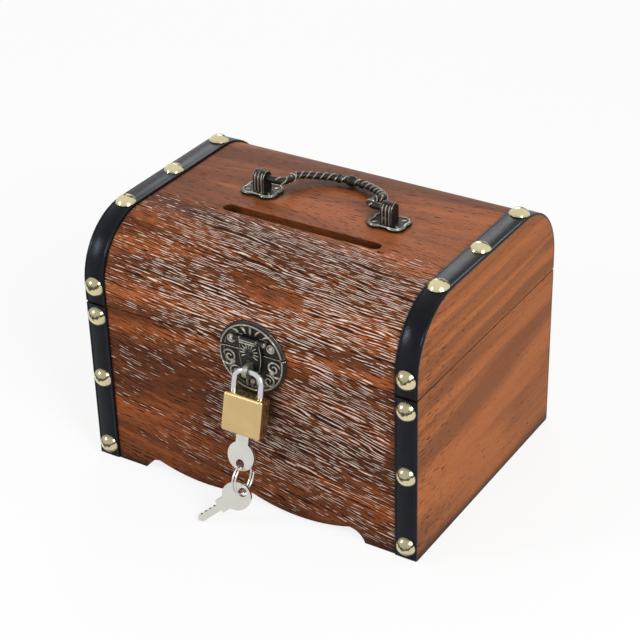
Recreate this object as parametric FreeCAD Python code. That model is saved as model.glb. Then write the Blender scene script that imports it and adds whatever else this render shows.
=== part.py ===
import FreeCAD, Part
import math
import os
from FreeCAD import Placement, Rotation
from FreeCAD import Vector as V

# A wooden money box in the form of a small chest: boards, bent lid, leather straps with dome nails,
# a drop handle, a round hasp, and a brass padlock with two keys on a split ring.
# Millimetres. X runs along the front to the right, Y to the back, Z up, origin under the middle.

# Chest
BOX_W = 160.0
BOX_D = 120.0
BODY_H = 77.2
LID_H = 36.0
LID_R = 28.0
PARTING = 0.4
WALL_T = 6.0
LIP_T = 3.0
SHELL_T = 5.0
BOTTOM_T = 3.0
BOTTOM_UP = 8.0
GROOVE_IN = 3.0
GROOVE_PLAY = 0.15
GLUE = 0.1

# Scalloped lower edge of the front and back boards
FOOT_W = 24.5
STEP_W = 7.5
PEAK_H = 5.6
STEP_BELLY = 0.55
LOBE_H = 1.8

# Coin slot
SLOT_L = 76.0
SLOT_W = 5.5
SLOT_X = 1.2
SLOT_Y = -17.3

# Straps and their dome nails
STRAP_W = 10.0
STRAP_T = 1.0
STRAP_END = 0.4
DOME_R = 4.5
DOME_H = 2.8
DOME_SHANK_R = 0.8
DOME_SHANK_L = 4.6
NAIL_LOW_Z = 6.2
NAIL_MID_UP = 1.8
NAIL_TOP_DROP = 6.0
LID_NAIL_UP = 7.8
SHOULDER_TILT = 5.7
TACK_PLAY = 0.03

# Back hinges
HINGE_IN = 35.0
HINGE_W = 20.0
LEAF_H = 13.5
LEAF_T = 0.8
LEAF_CORNER = 3.0
KNUCKLE_R = 1.5
KNUCKLE_L = 7.0
KNUCKLE_GAP = 0.2
HINGE_OFF = 0.05
PIN_R = 0.75
PIN_PLAY = 0.05

# Small round-head nails of the hinges and plates
NAIL_R = 1.4
NAIL_H = 0.8
NAIL_SHANK_R = 0.5
NAIL_SHANK_L = 4.2
HINGE_NAIL_X = 6.2
HINGE_NAIL_UP = 8.5

# Round hasp plate, cut in two at the parting
LOCK_X = 4.0
PLATE_R = 16.0
PLATE_DROP = 2.6
PLATE_T = 1.0
PLATE_EDGE = 0.25
RIM_W = 2.0
RIM_H = 0.6
PLATE_NAIL_X = 9.4
UPPER_NAIL_UP = 6.6
LOWER_NAIL_DOWN = 4.6
FOOT_NAIL_DOWN = 11.6

# Hasp flap
FLAP_AXIS_UP = 5.4
FLAP_KNUCKLE_R = 1.3
FLAP_KNUCKLE_L = 8.0
PLATE_KNUCKLE_L = 3.2
FLAP_PIN_R = 0.6
FLAP_PIN_HEAD_R = 1.1
FLAP_PIN_HEAD_H = 0.5
FLAP_GAP = 0.3
FLAP_T = 1.0
FLAP_WAIST = 10.4
FLAP_TIP_W = 6.6
FLAP_TIP_H = 2.6
FLAP_BELOW = 1.6
FLAP_PLAY = 0.4
BOSS_R = 2.0
BOSS_H = 0.8

# Staple eye that the shackle goes through
EYE_T = 2.0
EYE_R = 3.0
EYE_DROP = 7.2
EYE_OUT = 3.6
EYE_PLAY = 0.3
TANG_H = 3.6
TANG_L = 3.4
TANG_PLAY = 0.05

# Padlock, drawn upright about the shackle's top wire, then leaned outward on the staple
LEAN = 12.8
PADLOCK_SHIFT = 0.8
WIRE_R = 1.35
LEG_GAP = 12.9
BOW_R = 4.6
CASE_DROP = 9.9
CASE_W = 18.8
CASE_H = 17.0
CASE_T = 7.0
CASE_EDGE = 1.2
LEG_PLAY = 0.1
SHORT_LEG = 5.2
SHACKLE_TRAVEL = 5.4
LEG_SPARE = 1.4
PLUG_R = 2.6
PLUG_PLAY = 0.06
PLUG_PIN_R = 0.5
PLUG_PIN_UP = 3.2
PLUG_PIN_IN = 0.35
PLUG_PIN_WALL = 1.5
CRANK_R = 1.7
CRANK_PIN_R = 0.5
CRANK_PLAY = 0.15
BOLT_UNDER = 1.6
BOLT_H = 1.2
BOLT_W = 4.4
NOSE_W = 2.4
NOSE_IN = 0.5
NOTCH_IN = 0.8
NOTCH_SLACK = 1.3
BOLT_L = 8.0
BOLT_HEAD_L = 3.6
BOLT_PLAY = 0.12
WAFER_COUNT = 3
WAFER_T = 0.6
WAFER_W = 2.3
WAFER_GAP = 2.4
WAFER_PLAY = 0.05

# Keys
BOW_KEY_R = 6.4
BOW_KEY_T = 1.5
KEY_HOLE_R = 2.0
KEY_HOLE_OUT = 3.4
SHOULDER_W = 6.0
SHOULDER_L = 3.2
BLADE_W = 3.4
BLADE_T = 1.2
BLADE_PLAY = 0.08
KEY_TIP = 21.6
KEY_NECK = 3.7
BIT_COUNT = 4
BIT_FIRST = 1.7
BIT_PITCH = 2.4
BIT_DEPTH = 0.7

# Split ring and the spare key that hangs from it with its tip on the table
RING_R = 6.45
RING_WIRE_R = 0.42
RING_PITCH = 1.3
RING_TURNS = 2
RING_REST = 0.95
SPARE_REST = 0.45
SPARE_TURN = 24.4
SPARE_TIP_Z = 0.9

# Handle
HANDLE_X = 0.8
HANDLE_Y = 2.3
POST_SPAN = 62.2
POST_W = 5.3
POST_D = 6.4
PIVOT_UP = 6.8
ROSE_W = 17.0
ROSE_D = 13.0
ROSE_LOBE = 4.2
ROSE_T = 1.2
BAIL_R = 1.5
BAIL_RISE = 22.5
CROWN_R = 28.2
SCROLL_R = 2.6
NECK_R = 6.0
NECK_X = 20.4
NECK_DROP = 5.2
HEEL_R = 3.6
BAIL_PIN_R = 1.2
BAIL_PIN_IN = 3.4
BAIL_PLAY = 0.1
BAIL_SIDE = 0.4
BEAD_R = 2.4
BEAD_L = 6.0
SIDE_BEAD_R = 2.0
SIDE_BEAD_L = 2.6
SIDE_BEAD_DEG = 11.5
BEAD_SUNK = 0.4
BAIL_SEAT = 0.3
SCREW_R = 1.45
SCREW_PLAY = 0.05
SCREW_IN = 3.4
SCREW_HEAD_R = 2.8
SCREW_HEAD_H = 1.8
SCREW_SLOT = 0.7

# Places that follow from the sizes
DIAGONAL = math.sqrt(0.5)
HALF_W = BOX_W / 2
HALF_D = BOX_D / 2
LID_Z = BODY_H + PARTING
LID_TOP = LID_Z + LID_H
STRAP_X = HALF_W - STRAP_W / 2
NAIL_HIGH_Z = BODY_H - NAIL_TOP_DROP
NAIL_MID_Z = (NAIL_LOW_Z + NAIL_HIGH_Z) / 2 + NAIL_MID_UP
HINGE_X = HALF_W - HINGE_IN
LEAF_Y = HALF_D + LEAF_T
HINGE_AXIS_Y = HALF_D + KNUCKLE_R + HINGE_OFF
HINGE_AXIS_Z = BODY_H + PARTING / 2
PLATE_FACE = -HALF_D - PLATE_T
PLATE_Z = BODY_H - PLATE_DROP
FLAP_AXIS_Y = PLATE_FACE - FLAP_KNUCKLE_R
FLAP_AXIS_Z = LID_Z + FLAP_AXIS_UP
EYE_Y = PLATE_FACE - EYE_OUT
EYE_Z = BODY_H - EYE_DROP
PADLOCK_AT = V(LOCK_X + PADLOCK_SHIFT, EYE_Y, EYE_Z)
LEG_X = LEG_GAP / 2
CASE_BASE = -CASE_DROP - CASE_H
BOLT_TOP_Z = -CASE_DROP - BOLT_UNDER
BOLT_LOW_Z = BOLT_TOP_Z - BOLT_H
PLUG_TOP_Z = BOLT_LOW_Z - 2 * BOLT_PLAY
NOSE_TIP = LEG_X - WIRE_R + NOSE_IN
CRANK_X = CRANK_R * DIAGONAL
KEY_Z = CASE_BASE - KEY_NECK - BOW_KEY_R
KEY_HOLE_Z = KEY_Z - KEY_HOLE_OUT
PIVOT_Z = LID_TOP + PIVOT_UP
POST_X = POST_SPAN / 2
BAIL_DROOP = math.degrees(math.asin((PIVOT_UP - BEAD_R - BAIL_SEAT) / BAIL_RISE))
LEFT, RIGHT = -1, 1


def block(x, y, z):
    """A box between two x, two y and two z values, given in either order."""
    low = V(min(x), min(y), min(z))
    high = V(max(x), max(y), max(z))
    return Part.makeBox(high.x - low.x, high.y - low.y, high.z - low.z, low)


def line(a, b):
    return Part.LineSegment(a, b).toShape()


def arc(a, middle, b):
    return Part.Arc(a, middle, b).toShape()


def prism(edges, run):
    return Part.Face(Part.Wire(edges)).extrude(run)


def spin(edges, axis):
    return Part.Face(Part.Wire(edges)).revolve(V(0, 0, 0), axis, 360)


def rod(start, run, radius):
    return Part.makeCylinder(radius, run.Length, start, run)


def joined(first, others):
    return first.fuse(others).removeSplitter()


def stand(shape, at, normal):
    """A copy of a piece drawn about +Z, set at a point and turned to a normal."""
    copy = shape.copy()
    copy.Placement = Placement(at, Rotation(V(0, 0, 1), normal))
    return copy


def coin_slot():
    """The round-ended slot, cut through the top of the lid."""
    r = SLOT_W / 2
    reach = SLOT_L / 2 - r
    at = V(SLOT_X, SLOT_Y, LID_TOP - 2 * SHELL_T)
    a = at - V(reach, 0, 0)
    b = at + V(reach, 0, 0)
    side = V(0, r, 0)
    edges = [
        line(a + side, b + side),
        arc(b + side, b + V(r, 0, 0), b - side),
        line(b - side, a - side),
        arc(a - side, a - V(r, 0, 0), a + side),
    ]
    return prism(edges, V(0, 0, 3 * SHELL_T))


def tack(head_r, head_h, shank_r, shank_l):
    """A nail about +Z: domed head standing on z = 0, pointed shank below."""
    ball = (head_r**2 + head_h**2) / (2 * head_h)
    half = math.asin(min(1.0, head_r / ball)) / 2
    crown = V(ball * math.sin(half), 0, head_h - ball + ball * math.cos(half))
    tip = V(0, 0, -shank_l)
    point = V(shank_r, 0, shank_r - shank_l)
    neck = V(shank_r, 0, 0)
    rim = V(head_r, 0, 0)
    top = V(0, 0, head_h)
    edges = [line(tip, point), line(point, neck), line(neck, rim), arc(rim, crown, top), line(top, tip)]
    return spin(edges, V(0, 0, 1))


def tack_hole(shank_r, shank_l, at, normal):
    """The hole that a nail's shank leaves, from its head's seat inward."""
    return rod(at, normal * -(shank_l + TACK_PLAY), shank_r + TACK_PLAY)


def drill(shape, holes):
    for hole in holes:
        shape = shape.cut(hole)
    return shape


def lid_form(grow, x):
    """The lid's cross-section, grown outward or inward, as a bar between two x values."""
    half = HALF_D + grow
    top = LID_TOP + grow
    r = LID_R + grow
    bend = r * DIAGONAL
    x0 = min(x)
    front = V(x0, -half, LID_Z)
    front_top = V(x0, -half, top - r)
    top_front = V(x0, r - half, top)
    top_back = V(x0, half - r, top)
    back_top = V(x0, half, top - r)
    back = V(x0, half, LID_Z)
    edges = [
        line(front, front_top),
        arc(front_top, V(x0, r - half - bend, top - r + bend), top_front),
        line(top_front, top_back),
        arc(top_back, V(x0, half - r + bend, top - r + bend), back_top),
        line(back_top, back),
        line(back, front),
    ]
    return prism(edges, V(abs(x[1] - x[0]), 0, 0))


def spots(side):
    """Seats and outward normals of one side's dome nails, by the piece of strap that they hold."""
    x = side * STRAP_X
    face = HALF_D + STRAP_T
    tilt = math.radians(SHOULDER_TILT)
    heights = (NAIL_LOW_Z, NAIL_MID_Z, NAIL_HIGH_Z)
    front = [(V(x, -face, z), V(0, -1, 0)) for z in heights]
    back = [(V(x, face, z), V(0, 1, 0)) for z in heights]
    lid = [(V(x, way * face, LID_Z + LID_NAIL_UP), V(0, way, 0)) for way in (-1, 1)]
    lid.append((V(x, 0, LID_TOP + STRAP_T), V(0, 0, 1)))
    for way in (-1, 1):
        normal = V(0, way * math.sin(tilt), math.cos(tilt))
        centre = V(x, way * (HALF_D - LID_R), LID_TOP - LID_R)
        lid.append((centre + normal * (LID_R + STRAP_T), normal))
    return {"front": front, "back": back, "lid": lid}


def dome_holes(seats):
    return [tack_hole(DOME_SHANK_R, DOME_SHANK_L, at, normal) for at, normal in seats]


def dome_nails(seats):
    dome = tack(DOME_R, DOME_H, DOME_SHANK_R, DOME_SHANK_L)
    return Part.makeCompound([stand(dome, at, normal) for at, normal in seats])


def small_holes(seats):
    return [tack_hole(NAIL_SHANK_R, NAIL_SHANK_L, at, normal) for at, normal in seats]


def small_nails(seats):
    nail = tack(NAIL_R, NAIL_H, NAIL_SHANK_R, NAIL_SHANK_L)
    return Part.makeCompound([stand(nail, at, normal) for at, normal in seats])


def hinge_nail_seats(side, up):
    z = HINGE_AXIS_Z + up * HINGE_NAIL_UP
    x = side * HINGE_X
    return [(V(x + way * HINGE_NAIL_X, LEAF_Y, z), V(0, 1, 0)) for way in (-1, 1)]


def plate_nail_seats(upper):
    pairs = [(way * PLATE_NAIL_X, UPPER_NAIL_UP) for way in (-1, 1)]
    if not upper:
        pairs = [(way * PLATE_NAIL_X, -LOWER_NAIL_DOWN) for way in (-1, 1)]
        pairs.append((0, -FOOT_NAIL_DOWN))
    return [(V(LOCK_X + dx, PLATE_FACE, PLATE_Z + dz), V(0, -1, 0)) for dx, dz in pairs]


def bottom_space(play):
    x = HALF_W - WALL_T + GROOVE_IN + play
    y = HALF_D - WALL_T + GROOVE_IN + play
    return block((-x, x), (-y, y), (BOTTOM_UP - play, BOTTOM_UP + BOTTOM_T + play))


def scalloped_board(way):
    """The front or back board: feet, a step up at each foot, two shallow lobes between."""
    half = HALF_W - LIP_T
    foot = HALF_W - FOOT_W
    peak = foot - STEP_W
    y = way * HALF_D
    edges = [line(V(-half, y, BODY_H), V(-half, y, 0)), line(V(-half, y, 0), V(-foot, y, 0))]
    belly = V(-foot + STEP_W * (1 - STEP_BELLY) * STEP_BELLY, y, PEAK_H * STEP_BELLY)
    edges.append(arc(V(-foot, y, 0), belly, V(-peak, y, PEAK_H)))
    edges.append(arc(V(-peak, y, PEAK_H), V(-peak / 2, y, LOBE_H), V(0, y, PEAK_H)))
    edges.append(arc(V(0, y, PEAK_H), V(peak / 2, y, LOBE_H), V(peak, y, PEAK_H)))
    edges.append(arc(V(peak, y, PEAK_H), V(-belly.x, y, belly.z), V(foot, y, 0)))
    edges.append(line(V(foot, y, 0), V(half, y, 0)))
    edges.append(line(V(half, y, 0), V(half, y, BODY_H)))
    edges.append(line(V(half, y, BODY_H), V(-half, y, BODY_H)))
    return prism(edges, V(0, -way * WALL_T, 0)).cut(bottom_space(GROOVE_PLAY))


def front_panel():
    holes = dome_holes(spots(LEFT)["front"] + spots(RIGHT)["front"])
    holes += small_holes(plate_nail_seats(False))
    holes.append(tang(TANG_PLAY))
    return drill(scalloped_board(-1), holes)


def back_panel():
    holes = dome_holes(spots(LEFT)["back"] + spots(RIGHT)["back"])
    holes += small_holes(hinge_nail_seats(LEFT, -1) + hinge_nail_seats(RIGHT, -1))
    return drill(scalloped_board(1), holes)


def end_panel(side):
    """An end board: a full-depth lip outside, stepped in for the front and back boards."""
    lip = block((side * (HALF_W - LIP_T), side * HALF_W), (-HALF_D, HALF_D), (0, BODY_H))
    inner_y = HALF_D - WALL_T
    inner_x = (side * (HALF_W - WALL_T), side * (HALF_W - LIP_T))
    inner = block(inner_x, (-inner_y, inner_y), (0, BODY_H))
    return joined(lip, [inner]).cut(bottom_space(GROOVE_PLAY))


def lid_shell():
    """The bent front, top and back of the lid in one board, with the coin slot."""
    reach = HALF_W - LIP_T
    shell = lid_form(0, (-reach, reach)).cut(lid_form(-SHELL_T, (-HALF_W, HALF_W)))
    holes = [coin_slot()]
    holes += dome_holes(spots(LEFT)["lid"] + spots(RIGHT)["lid"])
    holes += small_holes(hinge_nail_seats(LEFT, 1) + hinge_nail_seats(RIGHT, 1))
    holes += small_holes(plate_nail_seats(True))
    holes += [screw_way(side) for side in (LEFT, RIGHT)]
    return drill(shell, holes)


def lid_cheek(side):
    """An end of the lid: full outline outside, stepped in under the bent board."""
    lip = lid_form(0, (side * (HALF_W - LIP_T), side * HALF_W))
    inner = lid_form(-SHELL_T - GLUE, (side * (HALF_W - WALL_T), side * (HALF_W - LIP_T)))
    return joined(lip, [inner])


def body_strap(side, way, name):
    x = (side * (HALF_W - STRAP_W), side * HALF_W)
    y = (way * HALF_D, way * (HALF_D + STRAP_T))
    strap = block(x, y, (STRAP_END, BODY_H - STRAP_END))
    return drill(strap, dome_holes(spots(side)[name]))


def lid_strap(side):
    x = (side * (HALF_W - STRAP_W), side * HALF_W)
    band = lid_form(STRAP_T, x).cut(lid_form(0, (x[0] * 2, 0)))
    trim = block((-BOX_W, BOX_W), (-BOX_D, BOX_D), (LID_Z - STRAP_END, LID_Z + STRAP_END))
    return drill(band.cut(trim), dome_holes(spots(side)["lid"]))


def hinge_spans(up):
    """The stretches of one hinge's barrel that belong to a leaf, measured from its middle."""
    half = KNUCKLE_L / 2
    if up > 0:
        return [(-half, half)]
    return [(-HINGE_W / 2, -half - KNUCKLE_GAP), (half + KNUCKLE_GAP, HINGE_W / 2)]


def hinge_leaf(side, up):
    """A hinge leaf on the back: a plate with round outer corners and its curled knuckles."""
    x = side * HINGE_X
    half = HINGE_W / 2
    root = HINGE_AXIS_Z + up * (KNUCKLE_R + KNUCKLE_GAP)
    end = HINGE_AXIS_Z + up * LEAF_H
    turn = end - up * LEAF_CORNER
    knee = LEAF_CORNER * (1 - DIAGONAL)
    flat = half - LEAF_CORNER
    y = HALF_D
    edges = [
        line(V(x - half, y, root), V(x - half, y, turn)),
        arc(V(x - half, y, turn), V(x - half + knee, y, end - up * knee), V(x - flat, y, end)),
        line(V(x - flat, y, end), V(x + flat, y, end)),
        arc(V(x + flat, y, end), V(x + half - knee, y, end - up * knee), V(x + half, y, turn)),
        line(V(x + half, y, turn), V(x + half, y, root)),
        line(V(x + half, y, root), V(x - half, y, root)),
    ]
    leaf = prism(edges, V(0, LEAF_T, 0))
    for a, b in hinge_spans(up):
        tab = block((x + a, x + b), (HALF_D, LEAF_Y), (HINGE_AXIS_Z, root))
        knuckle = rod(V(x + a, HINGE_AXIS_Y, HINGE_AXIS_Z), V(b - a, 0, 0), KNUCKLE_R)
        leaf = leaf.fuse([tab, knuckle])
    bore = rod(V(x - HINGE_W, HINGE_AXIS_Y, HINGE_AXIS_Z), V(2 * HINGE_W, 0, 0), PIN_R + PIN_PLAY)
    return drill(leaf.removeSplitter(), [bore] + small_holes(hinge_nail_seats(side, up)))


def hinge_pins():
    start = V(-HINGE_W / 2, HINGE_AXIS_Y, HINGE_AXIS_Z)
    pins = [rod(start + V(side * HINGE_X, 0, 0), V(HINGE_W, 0, 0), PIN_R) for side in (LEFT, RIGHT)]
    return Part.makeCompound(pins)


def round_plate():
    """The whole hasp plate: a disc with a raised bead near its edge, spun about the Y axis."""
    bead_out = PLATE_R - RIM_W / 4
    bead_in = bead_out - RIM_W
    middle = V((bead_out + bead_in) / 2, -PLATE_T - RIM_H, 0)
    edges = [
        line(V(0, 0, 0), V(0, -PLATE_T, 0)),
        line(V(0, -PLATE_T, 0), V(bead_in, -PLATE_T, 0)),
        arc(V(bead_in, -PLATE_T, 0), middle, V(bead_out, -PLATE_T, 0)),
        line(V(bead_out, -PLATE_T, 0), V(PLATE_R, -PLATE_T / 2, 0)),
        line(V(PLATE_R, -PLATE_T / 2, 0), V(PLATE_R, 0, 0)),
        line(V(PLATE_R, 0, 0), V(0, 0, 0)),
    ]
    disc = spin(edges, V(0, 1, 0))
    disc.translate(V(LOCK_X, -HALF_D, PLATE_Z))
    return disc


def flap_bore(radius):
    reach = FLAP_KNUCKLE_L + 2 * PLATE_KNUCKLE_L
    return rod(V(LOCK_X - reach, FLAP_AXIS_Y, FLAP_AXIS_Z), V(2 * reach, 0, 0), radius)


def flap_ear(side):
    """One of the plate's two knuckles for the flap, with the web that carries it."""
    inner = LOCK_X + side * (FLAP_KNUCKLE_L / 2 + KNUCKLE_GAP)
    outer = inner + side * PLATE_KNUCKLE_L
    web_z = (FLAP_AXIS_Z - FLAP_KNUCKLE_R, FLAP_AXIS_Z + FLAP_KNUCKLE_R)
    web = block((inner, outer), (PLATE_FACE, FLAP_AXIS_Y), web_z)
    barrel = rod(V(inner, FLAP_AXIS_Y, FLAP_AXIS_Z), V(outer - inner, 0, 0), FLAP_KNUCKLE_R)
    return web.fuse(barrel)


def upper_hasp_plate():
    above = block((-BOX_W, BOX_W), (-BOX_D, 0), (LID_Z + PLATE_EDGE, LID_TOP + BODY_H))
    plate = joined(round_plate().common(above), [flap_ear(LEFT), flap_ear(RIGHT)])
    return drill(plate, [flap_bore(FLAP_PIN_R + PIN_PLAY)] + small_holes(plate_nail_seats(True)))


def lower_hasp_plate():
    below = block((-BOX_W, BOX_W), (-BOX_D, 0), (0, BODY_H - PLATE_EDGE))
    plate = round_plate().common(below)
    return drill(plate, [tang(TANG_PLAY)] + small_holes(plate_nail_seats(False)))


def hasp_hinge_pin():
    """The flap's pin, with a low round head at each end."""
    half = FLAP_KNUCKLE_L / 2 + KNUCKLE_GAP + PLATE_KNUCKLE_L
    pin = rod(V(LOCK_X - half, FLAP_AXIS_Y, FLAP_AXIS_Z), V(2 * half, 0, 0), FLAP_PIN_R)
    head = tack(FLAP_PIN_HEAD_R, FLAP_PIN_HEAD_H, FLAP_PIN_R, FLAP_PIN_R * 2)
    ends = []
    for side in (LEFT, RIGHT):
        ends.append(stand(head, V(LOCK_X + side * half, FLAP_AXIS_Y, FLAP_AXIS_Z), V(side, 0, 0)))
    return joined(pin, ends)


def tang(play):
    """The staple's tail through the plate and into the board, grown by a play."""
    x = EYE_T / 2 + play
    z = TANG_H / 2 + play
    y = (PLATE_FACE - play, PLATE_FACE + PLATE_T + TANG_L + play)
    return block((LOCK_X - x, LOCK_X + x), y, (EYE_Z - z, EYE_Z + z))


def hasp_staple():
    x = LOCK_X - EYE_T / 2
    eye = rod(V(x, EYE_Y, EYE_Z), V(EYE_T, 0, 0), EYE_R)
    neck = block((x, x + EYE_T), (PLATE_FACE, EYE_Y), (EYE_Z - EYE_R, EYE_Z + EYE_R))
    hole = rod(V(x - EYE_T, EYE_Y, EYE_Z), V(3 * EYE_T, 0, 0), WIRE_R + EYE_PLAY)
    return joined(eye, [neck, tang(0)]).cut(hole)


def hasp_flap():
    """A shield-shaped flap with its knuckle, a slot for the staple and a round boss."""
    back = PLATE_FACE - FLAP_GAP
    half = FLAP_KNUCKLE_L / 2
    tip_half = FLAP_TIP_W / 2
    slot_half = EYE_R + FLAP_PLAY
    tip_z = EYE_Z - slot_half - FLAP_BELOW
    corner_z = tip_z + FLAP_TIP_H
    waist_z = (FLAP_AXIS_Z + corner_z) / 2
    top = FLAP_AXIS_Z

    def at(x, z):
        return V(LOCK_X + x, back, z)

    edges = [
        line(at(half, top), at(-half, top)),
        arc(at(-half, top), at(-FLAP_WAIST / 2, waist_z), at(-tip_half, corner_z)),
        arc(at(-tip_half, corner_z), at(0, tip_z), at(tip_half, corner_z)),
        arc(at(tip_half, corner_z), at(FLAP_WAIST / 2, waist_z), at(half, top)),
    ]
    leaf = prism(edges, V(0, -FLAP_T, 0))
    ear = FLAP_KNUCKLE_R + KNUCKLE_GAP
    for side in (LEFT, RIGHT):
        x = (LOCK_X + side * half, LOCK_X + side * FLAP_WAIST)
        leaf = leaf.cut(block(x, (PLATE_FACE, EYE_Y), (top - ear, top + ear)))
    barrel = rod(V(LOCK_X - half, FLAP_AXIS_Y, top), V(FLAP_KNUCKLE_L, 0, 0), FLAP_KNUCKLE_R)
    boss_z = (EYE_Z + slot_half + top - FLAP_KNUCKLE_R) / 2
    boss = stand(tack(BOSS_R, BOSS_H, FLAP_T / 2, FLAP_T), V(LOCK_X, back - FLAP_T, boss_z), V(0, -1, 0))
    slot_x = EYE_T / 2 + FLAP_PLAY
    slot_z = (EYE_Z - slot_half, EYE_Z + slot_half)
    slot = block((LOCK_X - slot_x, LOCK_X + slot_x), (PLATE_FACE, EYE_Y), slot_z)
    return drill(joined(leaf, [barrel, boss]), [flap_bore(FLAP_PIN_R + PIN_PLAY), slot])


def hung(shape):
    """A piece of the padlock, drawn about the shackle's top wire, leaned and hung on the staple."""
    copy = shape.copy()
    copy.Placement = Placement(PADLOCK_AT, Rotation(V(1, 0, 0), -LEAN)).multiply(copy.Placement)
    return copy


def padlock_shackle():
    """A round wire bent to a flat-topped bow, with the bolt's notch in its short leg."""
    long_end = -CASE_DROP - SHORT_LEG - SHACKLE_TRAVEL - LEG_SPARE
    short_end = -CASE_DROP - SHORT_LEG
    knee = BOW_R * (1 - DIAGONAL)
    flat = LEG_X - BOW_R
    path = Part.Wire([
        line(V(-LEG_X, 0, long_end), V(-LEG_X, 0, -BOW_R)),
        arc(V(-LEG_X, 0, -BOW_R), V(knee - LEG_X, 0, -knee), V(-flat, 0, 0)),
        line(V(-flat, 0, 0), V(flat, 0, 0)),
        arc(V(flat, 0, 0), V(LEG_X - knee, 0, -knee), V(LEG_X, 0, -BOW_R)),
        line(V(LEG_X, 0, -BOW_R), V(LEG_X, 0, short_end)),
    ])
    section = Part.Wire(Part.Circle(V(-LEG_X, 0, long_end), V(0, 0, 1), WIRE_R).toShape())
    bow = path.makePipeShell([section], True, False)
    notch_z = (BOLT_TOP_Z + 2 * BOLT_PLAY, BOLT_LOW_Z - NOTCH_SLACK)
    notch_x = (LEG_X - 2 * WIRE_R, LEG_X - WIRE_R + NOTCH_IN)
    return bow.cut(block(notch_x, (-WIRE_R * 2, WIRE_R * 2), notch_z))


def bolt_room():
    """The cross slot in the case that the bolt slides in, wide for its plate, narrow for its nose."""
    travel = 2 * CRANK_X
    z = (BOLT_LOW_Z - BOLT_PLAY, BOLT_TOP_Z + BOLT_PLAY)
    tail = NOSE_TIP - BOLT_L - travel - BOLT_PLAY
    step = NOSE_TIP - BOLT_HEAD_L + BOLT_PLAY
    wide = BOLT_W / 2 + BOLT_PLAY
    narrow = NOSE_W / 2 + BOLT_PLAY
    room = block((tail, step), (-wide, wide), z)
    return room.fuse(block((tail, LEG_X), (-narrow, narrow), z))


def padlock_case():
    """The brass case: rounded block, two leg bores, the plug's bore and the bolt's cross slot."""
    half = CASE_W / 2
    thick = CASE_T / 2
    case = block((-half, half), (-thick, thick), (CASE_BASE, -CASE_DROP))
    case = case.makeFillet(CASE_EDGE, case.Edges)
    leg_r = WIRE_R + LEG_PLAY
    long_depth = SHORT_LEG + SHACKLE_TRAVEL + LEG_SPARE + LEG_PLAY
    top = -CASE_DROP + CASE_EDGE
    bores = [
        rod(V(-LEG_X, 0, top), V(0, 0, -long_depth - CASE_EDGE), leg_r),
        rod(V(LEG_X, 0, top), V(0, 0, -SHORT_LEG - LEG_PLAY - CASE_EDGE), leg_r),
        rod(V(0, 0, CASE_BASE - CASE_EDGE), V(0, 0, PLUG_TOP_Z + BOLT_PLAY - CASE_BASE + CASE_EDGE),
            PLUG_R + PLUG_PLAY),
        bolt_room(),
        plug_pin_rod(TACK_PLAY),
    ]
    return drill(case, bores)


def plug_pin_rod(play):
    """The cross pin that keeps the plug in, set in from the back beside the plug's groove."""
    start = V(PLUG_R + PLUG_PIN_IN, CASE_T / 2, CASE_BASE + PLUG_PIN_UP)
    return rod(start, V(0, PLUG_PIN_WALL - CASE_T, 0), PLUG_PIN_R + play)


def latch_bolt():
    """The bolt: a plate with a slot for the plug's crank pin and a nose for the shackle's notch."""
    tail = NOSE_TIP - BOLT_L
    step = NOSE_TIP - BOLT_HEAD_L
    z = (BOLT_LOW_Z, BOLT_TOP_Z)
    plate = block((tail, step), (-BOLT_W / 2, BOLT_W / 2), z)
    nose = block((step, NOSE_TIP), (-NOSE_W / 2, NOSE_W / 2), z)
    slot_half = CRANK_PIN_R + CRANK_PLAY
    slot_y = (CRANK_X - CRANK_PIN_R - CRANK_PLAY, BOLT_W)
    slot = block((CRANK_X - slot_half, CRANK_X + slot_half), slot_y, (CASE_BASE, 0))
    return joined(plate, [nose]).cut(slot)


def wafer_levels():
    first = CASE_BASE + PLUG_PIN_UP + WAFER_GAP
    return [first + i * WAFER_GAP for i in range(WAFER_COUNT)]


def keyway(play):
    half_w = BLADE_W / 2 + play
    half_t = BLADE_T / 2 + play
    tip = KEY_Z + KEY_TIP + play
    return block((-half_w, half_w), (-half_t, half_t), (KEY_Z, tip))


def wafer_slots():
    half_y = WAFER_W / 2 + WAFER_PLAY
    half_t = WAFER_T / 2 + WAFER_PLAY
    reach = (-PLUG_R, PLUG_R)
    return [block(reach, (-half_y, half_y), (z - half_t, z + half_t)) for z in wafer_levels()]


def lock_plug():
    """The turning plug: keyway, wafer slots, a groove for the cross pin and a crank pin on top."""
    plug = rod(V(0, 0, CASE_BASE), V(0, 0, PLUG_TOP_Z - CASE_BASE), PLUG_R)
    crank = rod(V(CRANK_X, CRANK_X, PLUG_TOP_Z), V(0, 0, BOLT_H + BOLT_PLAY), CRANK_PIN_R)
    groove_z = CASE_BASE + PLUG_PIN_UP - PLUG_PIN_R - PLUG_PLAY
    groove_h = 2 * (PLUG_PIN_R + PLUG_PLAY)
    floor_r = PLUG_R + PLUG_PIN_IN - PLUG_PIN_R - PLUG_PLAY
    ring = rod(V(0, 0, groove_z), V(0, 0, groove_h), PLUG_R * 2)
    groove = ring.cut(rod(V(0, 0, groove_z), V(0, 0, groove_h), floor_r))
    return drill(joined(plug, [crank]), [keyway(BLADE_PLAY), groove] + wafer_slots())


def lock_wafers():
    """Thin tumblers in the plug, each with a window that the key's blade goes through."""
    half_x = math.sqrt(PLUG_R**2 - (WAFER_W / 2) ** 2) - WAFER_PLAY
    half_y = WAFER_W / 2
    half_t = WAFER_T / 2
    wafers = []
    for z in wafer_levels():
        plate = block((-half_x, half_x), (-half_y, half_y), (z - half_t, z + half_t))
        wafers.append(plate.cut(keyway(BLADE_PLAY)))
    return Part.makeCompound(wafers)


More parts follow.
